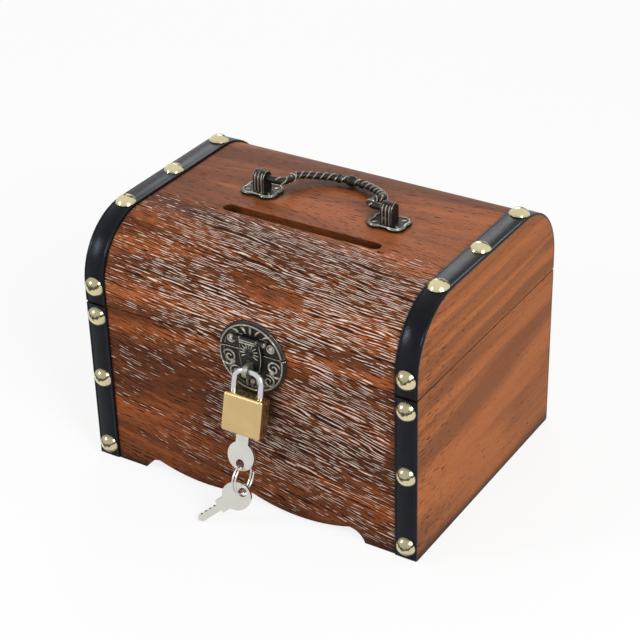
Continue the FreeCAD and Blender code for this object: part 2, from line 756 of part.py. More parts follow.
def key():
    """A flat key in the XZ plane about its bow's centre, blade up, hole below the centre."""
    bow = rod(V(0, -BOW_KEY_T / 2, 0), V(0, BOW_KEY_T, 0), BOW_KEY_R)
    collar_z = (0, BOW_KEY_R + SHOULDER_L)
    collar = block((-SHOULDER_W / 2, SHOULDER_W / 2), (-BOW_KEY_T / 2, BOW_KEY_T / 2), collar_z)
    half = BLADE_W / 2
    y = -BLADE_T / 2
    edges = [
        line(V(-half, y, 0), V(half, y, 0)),
        line(V(half, y, 0), V(half, y, KEY_TIP - half)),
        line(V(half, y, KEY_TIP - half), V(0, y, KEY_TIP)),
        line(V(0, y, KEY_TIP), V(-half, y, KEY_TIP - half)),
        line(V(-half, y, KEY_TIP - half), V(-half, y, 0)),
    ]
    blade = prism(edges, V(0, BLADE_T, 0))
    cuts = [rod(V(0, -BOW_KEY_T, -KEY_HOLE_OUT), V(0, 2 * BOW_KEY_T, 0), KEY_HOLE_R)]
    for i in range(BIT_COUNT):
        z = KEY_TIP - half - BIT_FIRST - i * BIT_PITCH
        deep = V(half - BIT_DEPTH, -BLADE_T, z)
        out = BIT_DEPTH * 2
        cuts.append(prism([
            line(deep, deep + V(out, 0, out)),
            line(deep + V(out, 0, out), deep + V(out, 0, -out)),
            line(deep + V(out, 0, -out), deep),
        ], V(0, 2 * BLADE_T, 0)))
    return drill(joined(bow, [collar, blade]), cuts)


def lock_key():
    copy = key()
    copy.translate(V(0, 0, KEY_Z))
    return hung(copy)


def ring_centre():
    """The ring hangs plumb from the hole of the key in the lock, its upper pair of wires centred."""
    hole = PADLOCK_AT + Rotation(V(1, 0, 0), -LEAN).multVec(V(0, 0, KEY_HOLE_Z))
    return hole - V(-RING_PITCH / 4, 0, RING_REST + RING_R)


def helix_point(turn):
    angle = 2 * math.pi * turn
    along = RING_PITCH * (turn - RING_TURNS / 2)
    return V(along, RING_R * math.cos(angle), RING_R * math.sin(angle))


def helix_heading(turn):
    angle = 2 * math.pi * turn
    heading = V(RING_PITCH / (2 * math.pi), -RING_R * math.sin(angle), RING_R * math.cos(angle))
    return heading.normalize()


def tangent_arc(start, corner, end):
    """The arc from start to end whose end tangents meet at the corner."""
    middle = (start + end) * 0.5
    half = (end - start).Length / 2
    to_corner = corner - middle
    angle = math.atan2(to_corner.Length, half)
    return arc(start, middle + to_corner.normalize() * (half * math.tan(angle / 2)), end)


def biarc(turn_a, turn_b):
    """Two arcs that follow the helix between two of its turns, tangent at both ends."""
    a, b = helix_point(turn_a), helix_point(turn_b)
    t_a, t_b = helix_heading(turn_a), helix_heading(turn_b)
    chord = b - a
    both = chord.dot(t_a + t_b)
    spread = 2 * (1 - t_a.dot(t_b))
    reach = (math.sqrt(both**2 + spread * chord.dot(chord)) - both) / spread
    corner_a = a + t_a * reach
    corner_b = b - t_b * reach
    middle = (corner_a + corner_b) * 0.5
    return [tangent_arc(a, corner_a, middle), tangent_arc(middle, corner_b, b)]


def key_ring():
    """A split ring: one wire wound in two turns, a quarter turn at a time."""
    quarters = 4 * RING_TURNS
    edges = []
    for i in range(quarters):
        edges += biarc(i / 4, (i + 1) / 4)
    start = Part.Circle(helix_point(0), helix_heading(0), RING_WIRE_R).toShape()
    ring = Part.Wire(edges).makePipeShell([Part.Wire(start)], True, False)
    print("split ring: gap between turns", round(RING_PITCH - 2 * RING_WIRE_R, 2), "mm")
    ring.translate(ring_centre())
    return ring


def spare_key():
    """The spare key, hung on the low point of the ring: its tip on the table, or plumb where it falls short."""
    low = ring_centre() + V(RING_PITCH / 4, 0, -RING_R)
    reach = SPARE_REST + KEY_HOLE_OUT + KEY_TIP
    drop = min(1, (low.z - SPARE_TIP_Z) / reach)
    level = math.sqrt(1 - drop**2)
    turn = math.radians(SPARE_TURN)
    heading = V(-level * math.cos(turn), -level * math.sin(turn), -drop)
    face = V(0, 1, 0) - heading * heading.y
    face.normalize()
    side = face.cross(heading)
    rotation = Rotation(side, face, heading, "ZXY")
    copy = key()
    copy.Placement = Placement(low + heading * (SPARE_REST + KEY_HOLE_OUT), rotation)
    return copy


def post_foot(side):
    return V(HANDLE_X + side * POST_X, HANDLE_Y, LID_TOP)


def screw_way(side):
    foot = post_foot(side)
    start = foot - V(0, 0, SHELL_T * 2)
    run = SHELL_T * 2 + ROSE_T + SCREW_IN + SCREW_PLAY
    return rod(start, V(0, 0, run), SCREW_R + SCREW_PLAY)


def handle_rose(side):
    """A thin four-lobed plate under a handle post."""
    foot = post_foot(side)
    out_x = ROSE_W / 2 - ROSE_LOBE
    out_y = ROSE_D / 2 - ROSE_LOBE
    lift = V(0, 0, ROSE_T)
    lobes = [rod(foot + V(sx * out_x, sy * out_y, 0), lift, ROSE_LOBE) for sx in (-1, 1) for sy in (-1, 1)]
    x = (foot.x - out_x, foot.x + out_x)
    middle = block(x, (foot.y - out_y, foot.y + out_y), (foot.z, foot.z + ROSE_T))
    return joined(middle, lobes).cut(screw_way(side))


def handle_post(side):
    """A post with a round head, bored from its inner face for the bail's end."""
    foot = post_foot(side)
    half = POST_D / 2
    x = foot.x - POST_W / 2
    low = foot.z + ROSE_T
    edges = [
        line(V(x, foot.y - half, low), V(x, foot.y + half, low)),
        line(V(x, foot.y + half, low), V(x, foot.y + half, PIVOT_Z)),
        arc(V(x, foot.y + half, PIVOT_Z), V(x, foot.y, PIVOT_Z + half), V(x, foot.y - half, PIVOT_Z)),
        line(V(x, foot.y - half, PIVOT_Z), V(x, foot.y - half, low)),
    ]
    post = prism(edges, V(POST_W, 0, 0))
    inner = V(foot.x - side * POST_W / 2, foot.y, PIVOT_Z)
    bore = rod(inner, V(side * (BAIL_PIN_IN + BAIL_PLAY), 0, 0), BAIL_PIN_R + BAIL_PLAY)
    return drill(post, [bore, screw_way(side)])


def handle_screws():
    """The two screws from inside the lid, with slotted heads."""
    screws = []
    for side in (LEFT, RIGHT):
        seat = post_foot(side) - V(0, 0, SHELL_T)
        shank = rod(seat, V(0, 0, SHELL_T + ROSE_T + SCREW_IN), SCREW_R)
        head = stand(tack(SCREW_HEAD_R, SCREW_HEAD_H, SCREW_R / 2, SCREW_HEAD_H), seat, V(0, 0, -1))
        slot_x = (seat.x - SCREW_HEAD_R, seat.x + SCREW_HEAD_R)
        slot_y = (seat.y - SCREW_SLOT / 2, seat.y + SCREW_SLOT / 2)
        slot = block(slot_x, slot_y, (seat.z - SCREW_HEAD_H, seat.z - SCREW_HEAD_H / 2))
        screws.append(joined(shank, [head]).cut(slot))
    return Part.makeCompound(screws)


def bead(radius, length, degrees):
    """A turned swelling on the crown of the bail, at an angle from its top."""
    half = length / 2
    ends = V(-half, BAIL_R - BEAD_SUNK, 0), V(half, BAIL_R - BEAD_SUNK, 0)
    edges = [
        line(V(-half, 0, 0), ends[0]),
        arc(ends[0], V(0, radius, 0), ends[1]),
        line(ends[1], V(half, 0, 0)),
        line(V(half, 0, 0), V(-half, 0, 0)),
    ]
    turned = spin(edges, V(1, 0, 0))
    turned.translate(V(0, BAIL_RISE, 0))
    turned.rotate(V(0, BAIL_RISE - CROWN_R, 0), V(0, 0, 1), degrees)
    return turned


def bail_side(side, crown_foot, middle_c, scroll_c, neck_c):
    """One half of the bail's line from the crown down: scroll, neck, heel and the level end."""

    def at(x, y):
        return V(side * x, y, 0)

    def on(centre, radius, degrees):
        turn = math.radians(degrees)
        return at(centre[0] + radius * math.cos(turn), centre[1] + radius * math.sin(turn))

    crown_deg = math.degrees(math.atan2(scroll_c[1] - middle_c, scroll_c[0]))
    neck_deg = math.degrees(math.atan2(scroll_c[1] - neck_c[1], scroll_c[0] - neck_c[0]))
    waist = on(scroll_c, SCROLL_R, neck_deg - 180)
    heel_c = (NECK_X + HEEL_R, HEEL_R)
    end = at(POST_X - POST_W / 2 - BAIL_SIDE, 0)
    return [
        arc(crown_foot(side), on(scroll_c, SCROLL_R, (crown_deg + neck_deg - 180) / 2), waist),
        arc(waist, on(neck_c, NECK_R, (neck_deg + 180) / 2), at(NECK_X, neck_c[1])),
        line(at(NECK_X, neck_c[1]), at(NECK_X, HEEL_R)),
        arc(at(NECK_X, HEEL_R), on(heel_c, HEEL_R, 225), at(heel_c[0], 0)),
        line(at(heel_c[0], 0), end),
    ]


def handle_bail():
    """The bail: a bar with a scroll near each end and beads on its crown, lying back on the lid."""
    middle_c = BAIL_RISE - CROWN_R
    reach = CROWN_R - SCROLL_R
    scroll_x = NECK_X + NECK_R - math.sqrt((NECK_R + SCROLL_R) ** 2 - NECK_DROP**2)
    scroll_c = (scroll_x, middle_c + math.sqrt(reach**2 - scroll_x**2))
    neck_c = (NECK_X + NECK_R, scroll_c[1] - NECK_DROP)

    def crown_foot(side):
        scale = CROWN_R / reach
        return V(side * scroll_c[0] * scale, middle_c + (scroll_c[1] - middle_c) * scale, 0)

    right = bail_side(RIGHT, crown_foot, middle_c, scroll_c, neck_c)
    left = bail_side(LEFT, crown_foot, middle_c, scroll_c, neck_c)
    crown = arc(crown_foot(LEFT), V(0, BAIL_RISE, 0), crown_foot(RIGHT))
    path = Part.Wire(left[::-1] + [crown] + right)
    end = V(POST_W / 2 + BAIL_SIDE - POST_X, 0, 0)
    section = Part.Wire(Part.Circle(end, V(1, 0, 0), BAIL_R).toShape())
    bar = path.makePipeShell([section], True, False)
    extras = [bead(BEAD_R, BEAD_L, 0)]
    extras += [bead(SIDE_BEAD_R, SIDE_BEAD_L, way * SIDE_BEAD_DEG) for way in (-1, 1)]
    for side in (LEFT, RIGHT):
        start = V(-side * end.x, 0, 0)
        extras.append(rod(start, V(side * (BAIL_SIDE + BAIL_PIN_IN), 0, 0), BAIL_PIN_R))
    bail = joined(bar, extras)
    bail.Placement = Placement(V(HANDLE_X, HANDLE_Y, PIVOT_Z), Rotation(V(1, 0, 0), -BAIL_DROOP))
    return bail


NODES = {
    "front_panel": front_panel(),
    "back_panel": back_panel(),
    "bottom_panel": bottom_space(0),
    "front_strap_nails": dome_nails(spots(LEFT)["front"] + spots(RIGHT)["front"]),
    "back_strap_nails": dome_nails(spots(LEFT)["back"] + spots(RIGHT)["back"]),
    "lid_strap_nails": dome_nails(spots(LEFT)["lid"] + spots(RIGHT)["lid"]),
    "lid_shell": lid_shell(),
    "hinge_pins": hinge_pins(),
    "body_hinge_nails": small_nails(hinge_nail_seats(LEFT, -1) + hinge_nail_seats(RIGHT, -1)),
    "lid_hinge_nails": small_nails(hinge_nail_seats(LEFT, 1) + hinge_nail_seats(RIGHT, 1)),
    "upper_hasp_plate": upper_hasp_plate(),
    "lower_hasp_plate": lower_hasp_plate(),
    "upper_plate_nails": small_nails(plate_nail_seats(True)),
    "lower_plate_nails": small_nails(plate_nail_seats(False)),
    "hasp_hinge_pin": hasp_hinge_pin(),
    "hasp_flap": hasp_flap(),
    "hasp_staple": hasp_staple(),
    "padlock_shackle": hung(padlock_shackle()),
    "padlock_case": hung(padlock_case()),
    "plug_cross_pin": hung(plug_pin_rod(0)),
    "latch_bolt": hung(latch_bolt()),
    "lock_plug": hung(lock_plug()),
    "lock_wafers": hung(lock_wafers()),
    "lock_key": lock_key(),
    "key_ring": key_ring(),
    "spare_key": spare_key(),
    "handle_screws": handle_screws(),
    "handle_bail": handle_bail(),
}
for name, side in (("left", LEFT), ("right", RIGHT)):
    NODES[name + "_end_panel"] = end_panel(side)
    NODES[name + "_lid_cheek"] = lid_cheek(side)
    NODES[name + "_front_strap"] = body_strap(side, -1, "front")
    NODES[name + "_back_strap"] = body_strap(side, 1, "back")
    NODES[name + "_lid_strap"] = lid_strap(side)
    NODES[name + "_hinge_body_leaf"] = hinge_leaf(side, -1)
    NODES[name + "_hinge_lid_leaf"] = hinge_leaf(side, 1)
    NODES[name + "_handle_rose"] = handle_rose(side)
    NODES[name + "_handle_post"] = handle_post(side)

os.makedirs("parts", exist_ok=True)
for name, shape in NODES.items():
    shape.exportStep("parts/" + name + ".step")
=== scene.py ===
import math

import bmesh
import bpy
from bpy.props import FloatProperty, FloatVectorProperty, PointerProperty
from mathutils import Matrix, Vector


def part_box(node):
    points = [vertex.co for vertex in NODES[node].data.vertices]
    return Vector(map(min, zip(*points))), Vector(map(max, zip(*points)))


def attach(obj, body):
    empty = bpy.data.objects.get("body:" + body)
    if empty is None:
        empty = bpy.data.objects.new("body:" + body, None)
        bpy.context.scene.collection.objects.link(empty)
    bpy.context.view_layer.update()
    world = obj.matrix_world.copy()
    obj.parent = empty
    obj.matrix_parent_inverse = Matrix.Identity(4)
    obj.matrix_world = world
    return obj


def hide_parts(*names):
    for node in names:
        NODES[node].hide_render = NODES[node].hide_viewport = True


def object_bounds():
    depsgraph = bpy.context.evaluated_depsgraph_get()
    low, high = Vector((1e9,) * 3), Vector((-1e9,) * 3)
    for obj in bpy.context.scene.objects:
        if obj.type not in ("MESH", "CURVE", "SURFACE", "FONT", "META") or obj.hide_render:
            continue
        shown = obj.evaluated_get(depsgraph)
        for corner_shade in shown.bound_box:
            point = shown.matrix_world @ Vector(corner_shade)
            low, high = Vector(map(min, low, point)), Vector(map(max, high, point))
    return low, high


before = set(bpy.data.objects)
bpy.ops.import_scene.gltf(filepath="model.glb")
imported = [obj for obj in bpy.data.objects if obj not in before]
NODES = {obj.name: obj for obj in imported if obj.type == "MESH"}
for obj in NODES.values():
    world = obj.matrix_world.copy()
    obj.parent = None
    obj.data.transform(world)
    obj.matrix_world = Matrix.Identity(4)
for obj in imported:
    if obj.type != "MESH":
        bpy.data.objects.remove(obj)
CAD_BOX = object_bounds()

bl_info = {
    "name": "Wooden money box",
    "version": (1, 0, 0),
    "blender": (4, 5, 0),
    "location": "View3D > Sidebar > Money box",
    "description": "Finishes a small wooden chest with straps, a hasp, a padlock and a drop handle",
    "category": "Object",
}

MM = 0.001
SIDES = ("left", "right")

# Sizes of the solids that the new pieces lie on
LID_BEND = 28 * MM
FLAP_THICK = 1 * MM
FLAP_BOSS_DOWN = 6.75 * MM
FLAP_BOSS_HEIGHT = 0.8 * MM
FLAP_BOSS_RADIUS = 2.1 * MM
KNUCKLE_RADIUS = 1.3 * MM
KNUCKLE_LENGTH = 8 * MM
ROSE_LOBE = 4.2 * MM
BAIL_RADIUS = 1.5 * MM
BAIL_RISE = 22.5 * MM
BAIL_DROOP = math.radians(10.5)
CROWN_RADIUS = 28.2 * MM
CURL_RADIUS = 2.6 * MM
NECK_RADIUS = 6 * MM
NECK_X = 20.4 * MM
NECK_DROP = 5.2 * MM
HEEL_RADIUS = 3.6 * MM

# Rays that look for corners and for edges
CORNER_SAMPLES = 8
EDGE_SAMPLES = 6

# The camera's right, up and backward directions
CAMERA_AXES = ((0.85150, 0.52386, -0.02286), (-0.24793, 0.44064, 0.86277), (0.46205, -0.72897, 0.50508))


def paint(red, green, blue):
    """Linear colour of a paint that is named by its 0 to 255 screen values."""
    def linear(value):
        part = value / 255
        return part / 12.92 if part <= 0.04045 else ((part + 0.055) / 1.055) ** 2.4
    return (linear(red), linear(green), linear(blue))


def colour(name, description, default):
    """A colour that a user may change."""
    return FloatVectorProperty(
        name=name, description=description, subtype="COLOR", size=3, min=0, max=1, default=default)


def length(name, description, default):
    """A length that a user may change, in metres."""
    return FloatProperty(
        name=name, description=description, unit="LENGTH", min=0, default=default, precision=5)


def share(name, description, default):
    """A share between nought and one that a user may change."""
    return FloatProperty(
        name=name, description=description, subtype="FACTOR", min=0, max=1, default=default)


class WoodSettings(bpy.types.PropertyGroup):
    """Stains and pores of the boards"""
    lid_stain: colour("Lid stain", "Stain on the bent lid board", paint(144, 80, 43))
    front_stain: colour("Front stain", "Stain on the front and back boards", paint(126, 67, 32))
    end_stain: colour("End stain", "Stain on the end boards and lid cheeks", paint(152, 87, 42))
    bottom_stain: colour("Bottom stain", "Thin stain on the bottom board", paint(176, 132, 92))
    pore_colour: colour("Pore", "Dark filler in the open pores", paint(24, 15, 12))
    # Painted highlight: the pale ridges between close pores stand in for the light that brushed ridges catch
    ridge_highlight_colour: colour("Ridge", "Pale wood between close pores", paint(224, 210, 198))
    pore_pitch: length("Pore pitch", "Distance from one row of pores to the next", 1.25 * MM)
    pore_run: length("Pore run", "Usual length of one pore", 6 * MM)
    pore_depth: length("Pore depth", "How deep the pores are brushed out", 0.2 * MM)
    ring_width: length("Ring width", "Width of the growth rings in the figure", 6 * MM)
    roughness: share("Roughness", "Roughness of the lacquer", 0.48)


class StrapSettings(bpy.types.PropertyGroup):
    """Dye and shape of the leather straps"""
    leather: colour("Leather", "Dye of the straps", paint(13, 14, 19))
    crease_in: length("Crease in", "Distance of the creased line from the strap's edge", 1.1 * MM)
    crease_depth: length("Crease depth", "Depth of the creased line", 0.16 * MM)
    round_over: length("Round-over", "Rounding of the strap's outer edges", 0.4 * MM)
    grain: length("Grain", "Size of the leather's grain", 0.5 * MM)


class MetalSettings(bpy.types.PropertyGroup):
    """Colours of the metals, and the height of their reliefs"""
    dome_brass: colour("Dome brass", "Polished brass of the strap nails", paint(216, 204, 164))
    lock_brass: colour("Padlock brass", "Satin brass of the padlock", paint(206, 178, 127))
    bronze: colour("Dark bronze", "Aged ground of the hasp and handle", paint(46, 44, 42))
    rubbed: colour("Rubbed bronze", "Worn relief of the hasp and handle", paint(196, 190, 176))
    nickel: colour("Nickel", "Plating of the keys and ring", paint(212, 210, 203))
    steel: colour("Steel", "Bright steel of the shackle", paint(200, 202, 205))
    hinge_brass: colour("Hinge brass", "Lacquered brass of the hinges", paint(196, 164, 96))
    relief: length("Relief", "Half thickness of the raised scrolls", 0.5 * MM)


class StageSettings(bpy.types.PropertyGroup):
    """Place of the camera, and the levels of floor and light"""
    eye: FloatVectorProperty(
        name="Eye", description="Place of the camera", subtype="TRANSLATION", size=3,
        default=(0.36567, -0.57946, 0.46082))
    lens: FloatProperty(
        name="Lens", description="Focal length on a 36 mm frame, in millimetres", default=103.2)
    floor: colour("Floor", "Colour of the floor", (0.94, 0.94, 0.94))
    ambient: share("Ambient", "Level of the light from all round", 0.5)
    shadow: share("Shadow", "How much of the floor's own shading shows", 0.17)


class Shade:
    """A material's node tree, with short calls for the nodes that the finishes share."""

    def __init__(self, name):
        self.material = bpy.data.materials.new(name)
        self.material.use_nodes = True
        self.tree = self.material.node_tree
        self.surface = self.tree.nodes["Principled BSDF"]
        where = self.add("ShaderNodeTexCoord").outputs
        self.place = where["Object"]
        self.face = where["Normal"]

    def add(self, kind, inputs=None, **settings):
        """A new node with its settings, and a value or a link for each input."""
        item = self.tree.nodes.new(kind)
        for name, value in settings.items():
            setattr(item, name, value)
        for key, value in (inputs or {}).items():
            self.feed(item.inputs[key], value)
        return item

    def feed(self, socket, value):
        """Links another node's output to a socket, or sets a plain value on it."""
        if isinstance(value, bpy.types.NodeSocket):
            self.tree.links.new(value, socket)
        else:
            socket.default_value = value

    def set(self, **sockets):
        """Feeds the surface's sockets by name."""
        for name, value in sockets.items():
            value = as_rgba(value) if isinstance(value, tuple) else value
            self.feed(self.surface.inputs[name.replace("_", " ")], value)

    def stretched(self, vector, scale):
        """Coordinates scaled along each axis."""
        return self.add("ShaderNodeMapping", {"Vector": vector, "Scale": scale}).outputs["Vector"]

    def along(self, axis):
        """The piece's own coordinate along an axis."""
        return self.split(self.place)[axis]

    def evenly(self, density):
        """The piece's own coordinates, with so many units to the metre."""
        return self.stretched(self.place, (density, density, density))

    def noise(self, vector, detail=2.0, roughness=0.5, output="Fac"):
        """Cloudy noise, about one unit from one cloud to the next."""
        inputs = {"Vector": vector, "Scale": 1.0, "Detail": detail, "Roughness": roughness}
        return self.add("ShaderNodeTexNoise", inputs).outputs[output]

    def cells(self, vector):
        """Distance from the middle of the nearest pebble."""
        return self.add("ShaderNodeTexVoronoi", {"Vector": vector, "Scale": 1.0}).outputs["Distance"]

    def ramp(self, value, low, high, start=0.0, end=1.0):
        """A smooth step from start to end, as the value goes from low to high."""
        inputs = {"Value": value, "From Min": low, "From Max": high, "To Min": start, "To Max": end}
        return self.add("ShaderNodeMapRange", inputs, interpolation_type="SMOOTHSTEP").outputs["Result"]

    def math(self, operation, first, second=0.0):
        """One step of arithmetic."""
        return self.add("ShaderNodeMath", {0: first, 1: second}, operation=operation).outputs[0]

    def plus(self, first, second):
        """The sum of two values."""
        return self.math("ADD", first, second)

    def minus(self, first, second):
        """The first value less the second."""
        return self.math("SUBTRACT", first, second)

    def times(self, first, second):
        """The product of two values."""
        return self.math("MULTIPLY", first, second)

    def vector(self, operation, first, second=(0.0, 0.0, 0.0)):
        """One step of arithmetic on vectors."""
        return self.add("ShaderNodeVectorMath", {0: first, 1: second}, operation=operation).outputs[0]

    def dot(self, first, second):
        """How far two directions agree."""
        inputs = {0: first, 1: second}
        return self.add("ShaderNodeVectorMath", inputs, operation="DOT_PRODUCT").outputs["Value"]

    def mix(self, share_of_second, first, second):
        """A blend of two colours."""
        inputs = {"Factor": share_of_second, "A": as_rgba(first), "B": as_rgba(second)}
        item = self.add("ShaderNodeMix", data_type="RGBA")
        for key, value in inputs.items():
            self.feed(next(s for s in item.inputs if s.name == key and s.enabled), value)
        return next(s for s in item.outputs if s.enabled)

    def split(self, vector):
        """A vector's parts, by the names of the axes."""
        return self.add("ShaderNodeSeparateXYZ", {0: vector}).outputs

    def join(self, **parts):
        """A vector from its parts."""
        return self.add("ShaderNodeCombineXYZ", parts).outputs["Vector"]

    def bump(self, height, depth, strength, under=None):
        """Raises the surface by a height, over another normal if one is given."""
        inputs = {"Height": height, "Distance": depth, "Strength": strength}
        if under is not None:
            inputs["Normal"] = under
        self.feed(self.surface.inputs["Normal"], self.add("ShaderNodeBump", inputs).outputs["Normal"])

    def crevice(self, reach, clear, deep):
        """One in the corners where a piece meets its neighbour, and nought out in the open."""
        open_share = self.add("ShaderNodeAmbientOcclusion", {"Distance": reach}, samples=CORNER_SAMPLES)
        return self.ramp(open_share.outputs["AO"], clear, deep)

    def eased_edges(self, radius):
        """The normal of a piece whose sharp edges are rounded off."""
        return self.add("ShaderNodeBevel", {"Radius": radius}, samples=EDGE_SAMPLES).outputs["Normal"]


def as_rgba(value):
    """A colour with its fourth part, or a link as it is."""
    return value if isinstance(value, bpy.types.NodeSocket) else (*value, 1.0)


def darker(tone, level):
    """A colour at a share of its level. A share over one makes it lighter."""
    return tuple(part * level for part in tone)


def finish(names, material):
    """Gives the named CAD nodes a finish."""
    for name in names:
        for slot in NODES[name].material_slots:
            slot.material = material


def add_piece(name, data, material, body, slot, *replaced):
    """A new piece that rides on a body, and stands for the CAD nodes it replaces."""
    piece = bpy.data.objects.new(name, data)
    bpy.context.scene.collection.objects.link(piece)
    data.materials.append(material)
    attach(piece, body)
    if replaced:
        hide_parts(*replaced)


# Wood

# Noise along the grain: usual run, usual width, levels of finer detail
FIGURE_GRAIN = (150 * MM, 7 * MM, 4)
BAND_GRAIN = (260 * MM, 22 * MM, 2)
FIBRE_GRAIN = (30 * MM, 0.7 * MM, 2)
FLECK_GRAIN = (2.2 * MM, 0.22 * MM, 0)
DRIFT_GRAIN = (45 * MM, 8 * MM, 2)
RAGGED_GRAIN = (70 * MM, 5 * MM, 2)
GRAIN_ROUGHNESS = 0.6

# Waver of the grain: run and width of one bend, and how far the grain of a board and of an end strays
WAVER_RUN = 90 * MM
WAVER_WIDTH = 26 * MM
BOARD_WARP = 2.5 * MM
END_WARP = 7 * MM

# Levels of the noise at which a mark begins and is whole
FIGURE_EDGE = (0.38, 0.62)
BAND_EDGE = (0.46, 0.62)
FIBRE_EDGE = (0.35, 0.75)
FLECK_EDGE = (0.64, 0.68)
PORE_EDGE = (0.46, 0.50)
RIDGE_HIGHLIGHT_EDGE = (0.265, 0.225)

# How far the light figure rises, as a share of how far the dark figure falls
LIGHT_FIGURE = 0.8

# Level of each mark's colour, as a share of the stain's
BAND_SHADE = 0.36
STRIPE_SHADE = 0.3
FIBRE_SHADE = 0.55
FLECK_SHADE = 0.3
PAINTED_CORNER_LEVEL = 0.1

# How fully a mark covers the stain
FIBRE_COVER = 0.3
FLECK_COVER = 0.55
PORE_COVER = 0.92
PAINTED_CORNER_COVER = 0.93

# How far sparse pores move the level at which a pore or a painted ridge highlight shows
SPARSE_STEP = 0.25
PORE_STEP = 0.8
RIDGE_HIGHLIGHT_STEP = 1.3

# Rows of pores: drift and width of a break in pitches, and the shares of broken and of even rows
ROW_DRIFT = 6.0
ROW_BREAK = 0.6
ROW_BROKEN = 0.8
ROW_EVEN = 0.2

# How coordinates are turned, for each grain, and shifted to the heart that the growth rings lie about
HEART_SHIFT = (0.0, 0.0, -20 * MM)
HEART_TILT = {
    "X": (0.0, math.radians(3), math.radians(2)),
    "Y": (math.radians(2), 0.0, math.radians(3)),
}

# Patches of close pores: units to the metre along each axis, then per board two noise levels and the least
PATCH_DENSITY = (20, 52, 52)
LID_PATCHES = (0.26, 0.48, 0.42)
FRONT_PATCHES = (0.38, 0.52, 0.45)
END_PATCHES = (0.3, 0.6, 0.4)

# How close the pores lie over a board: from one place to another, and how close at each. The lid's clear
# stretch is measured from its own middle
LID_CLEAR_Y = 18 * MM
LID_CLEAR = (28 * MM, 46 * MM, 0.08, 1.0)
LID_LEFT = (-80 * MM, -10 * MM, 0.72, 1.0)
FRONT_LEFT = (-60 * MM, 15 * MM, 0.68, 1.0)
FRONT_LOW = (6 * MM, 32 * MM, 0.72, 1.0)
FRONT_RIGHT = (15 * MM, 50 * MM, 0.0, 0.82)
END_FRONT = (-10 * MM, -62 * MM, -0.3, 0.42)

# The front board's dark stripe: fall to the right, height, raggedness and edge
STRIPE_FALL = 0.064
STRIPE_HEIGHT = 42 * MM
STRIPE_RAGGED = (0.25, 0.75, -9 * MM, 9 * MM)
STRIPE_EDGE = (15 * MM, 7 * MM, 0.0, 0.62)

# Painted shade in the corners and down the slot: reach, and how open a place is where it begins and is whole
PAINTED_CORNER_SHADE = (8 * MM, 0.9, 0.6)

# Rounded edges, lacquer and relief
WOOD_EDGE = 0.5 * MM
WOOD_GLOSS = 0.09
PORE_ROUGHNESS = 0.75
FIBRE_RISE = 0.15
WOOD_BUMP = 0.8


def wood_finish(name, settings, stain, grain, slant, pores, figured, bands, ridge_highlight_strength,
                warp=BOARD_WARP, stripe=None):
    """Stained open-pored wood.

    The grain runs along the axis grain, falls by slant across the board and wavers by warp. pores says
    where the pores lie close, and stripe where the wood is dark. figured and bands are the strength of the
    figure and the dark bands, and the next argument that of the pale ridges, a painted highlight.
    """
    shade = Shade(name)
    bent = wavering(shade, grain, warp)
    board = unrolled(shade, bent, grain, slant)

    streak = grain_noise(shade, board, *FIGURE_GRAIN)
    figure = shade.times(shade.plus(streak, rings(shade, bent, grain, settings.ring_width)), 0.5)
    band = grain_noise(shade, board, *BAND_GRAIN)
    fibre = grain_noise(shade, board, *FIBRE_GRAIN)
    low_tone = darker(stain, 1 - figured)
    high_tone = darker(stain, 1 + LIGHT_FIGURE * figured)
    tone = shade.mix(shade.ramp(figure, *FIGURE_EDGE), low_tone, high_tone)
    tone = shade.mix(shade.ramp(band, *BAND_EDGE, 0.0, bands), tone, darker(stain, BAND_SHADE))
    if stripe:
        tone = shade.mix(stripe(shade, board), tone, darker(stain, STRIPE_SHADE))
    tone = shade.mix(shade.ramp(fibre, *FIBRE_EDGE, 0.0, FIBRE_COVER), tone, darker(stain, FIBRE_SHADE))

    row = pore_rows(shade, board, settings)
    sparse = shade.times(shade.minus(1.0, pores(shade)), SPARSE_STEP)
    pore = shade.ramp(shade.minus(row, shade.times(sparse, PORE_STEP)), *PORE_EDGE)
    # Painted highlight: pale ridges between close pores, where brushed ridges would catch the light
    ridge_highlight = shade.ramp(shade.plus(row, shade.times(sparse, RIDGE_HIGHLIGHT_STEP)), *RIDGE_HIGHLIGHT_EDGE)
    fleck = shade.ramp(grain_noise(shade, board, *FLECK_GRAIN), *FLECK_EDGE)
    # Painted shade: the wood darkens in corners and in the slot, where shade falls
    corner_shade = shade.crevice(*PAINTED_CORNER_SHADE)
    tone = shade.mix(shade.times(ridge_highlight, ridge_highlight_strength), tone, settings.ridge_highlight_colour)
    tone = shade.mix(shade.times(fleck, FLECK_COVER), tone, darker(stain, FLECK_SHADE))
    tone = shade.mix(shade.times(pore, PORE_COVER), tone, settings.pore_colour)
    tone = shade.mix(shade.times(corner_shade, PAINTED_CORNER_COVER), tone, darker(stain, PAINTED_CORNER_LEVEL))

    rough = shade.ramp(pore, 0.0, 1.0, settings.roughness, PORE_ROUGHNESS)
    shade.set(Base_Color=tone, Roughness=rough, Specular_IOR_Level=WOOD_GLOSS)
    height = shade.minus(shade.times(fibre, FIBRE_RISE), pore)
    shade.bump(height, settings.pore_depth, WOOD_BUMP, shade.eased_edges(WOOD_EDGE))
    return shade.material


def wavering(shade, grain, warp):
    """The piece's own coordinates, pushed about a little, so that the grain isn't straight."""
    spread = tuple(1 / (WAVER_RUN if axis == grain else WAVER_WIDTH) for axis in "XYZ")
    push = shade.noise(shade.stretched(shade.place, spread), output="Color")
    push = shade.vector("SUBTRACT", push, (0.5, 0.5, 0.5))
    return shade.vector("ADD", shade.place, shade.vector("MULTIPLY", push, (warp, warp, warp)))


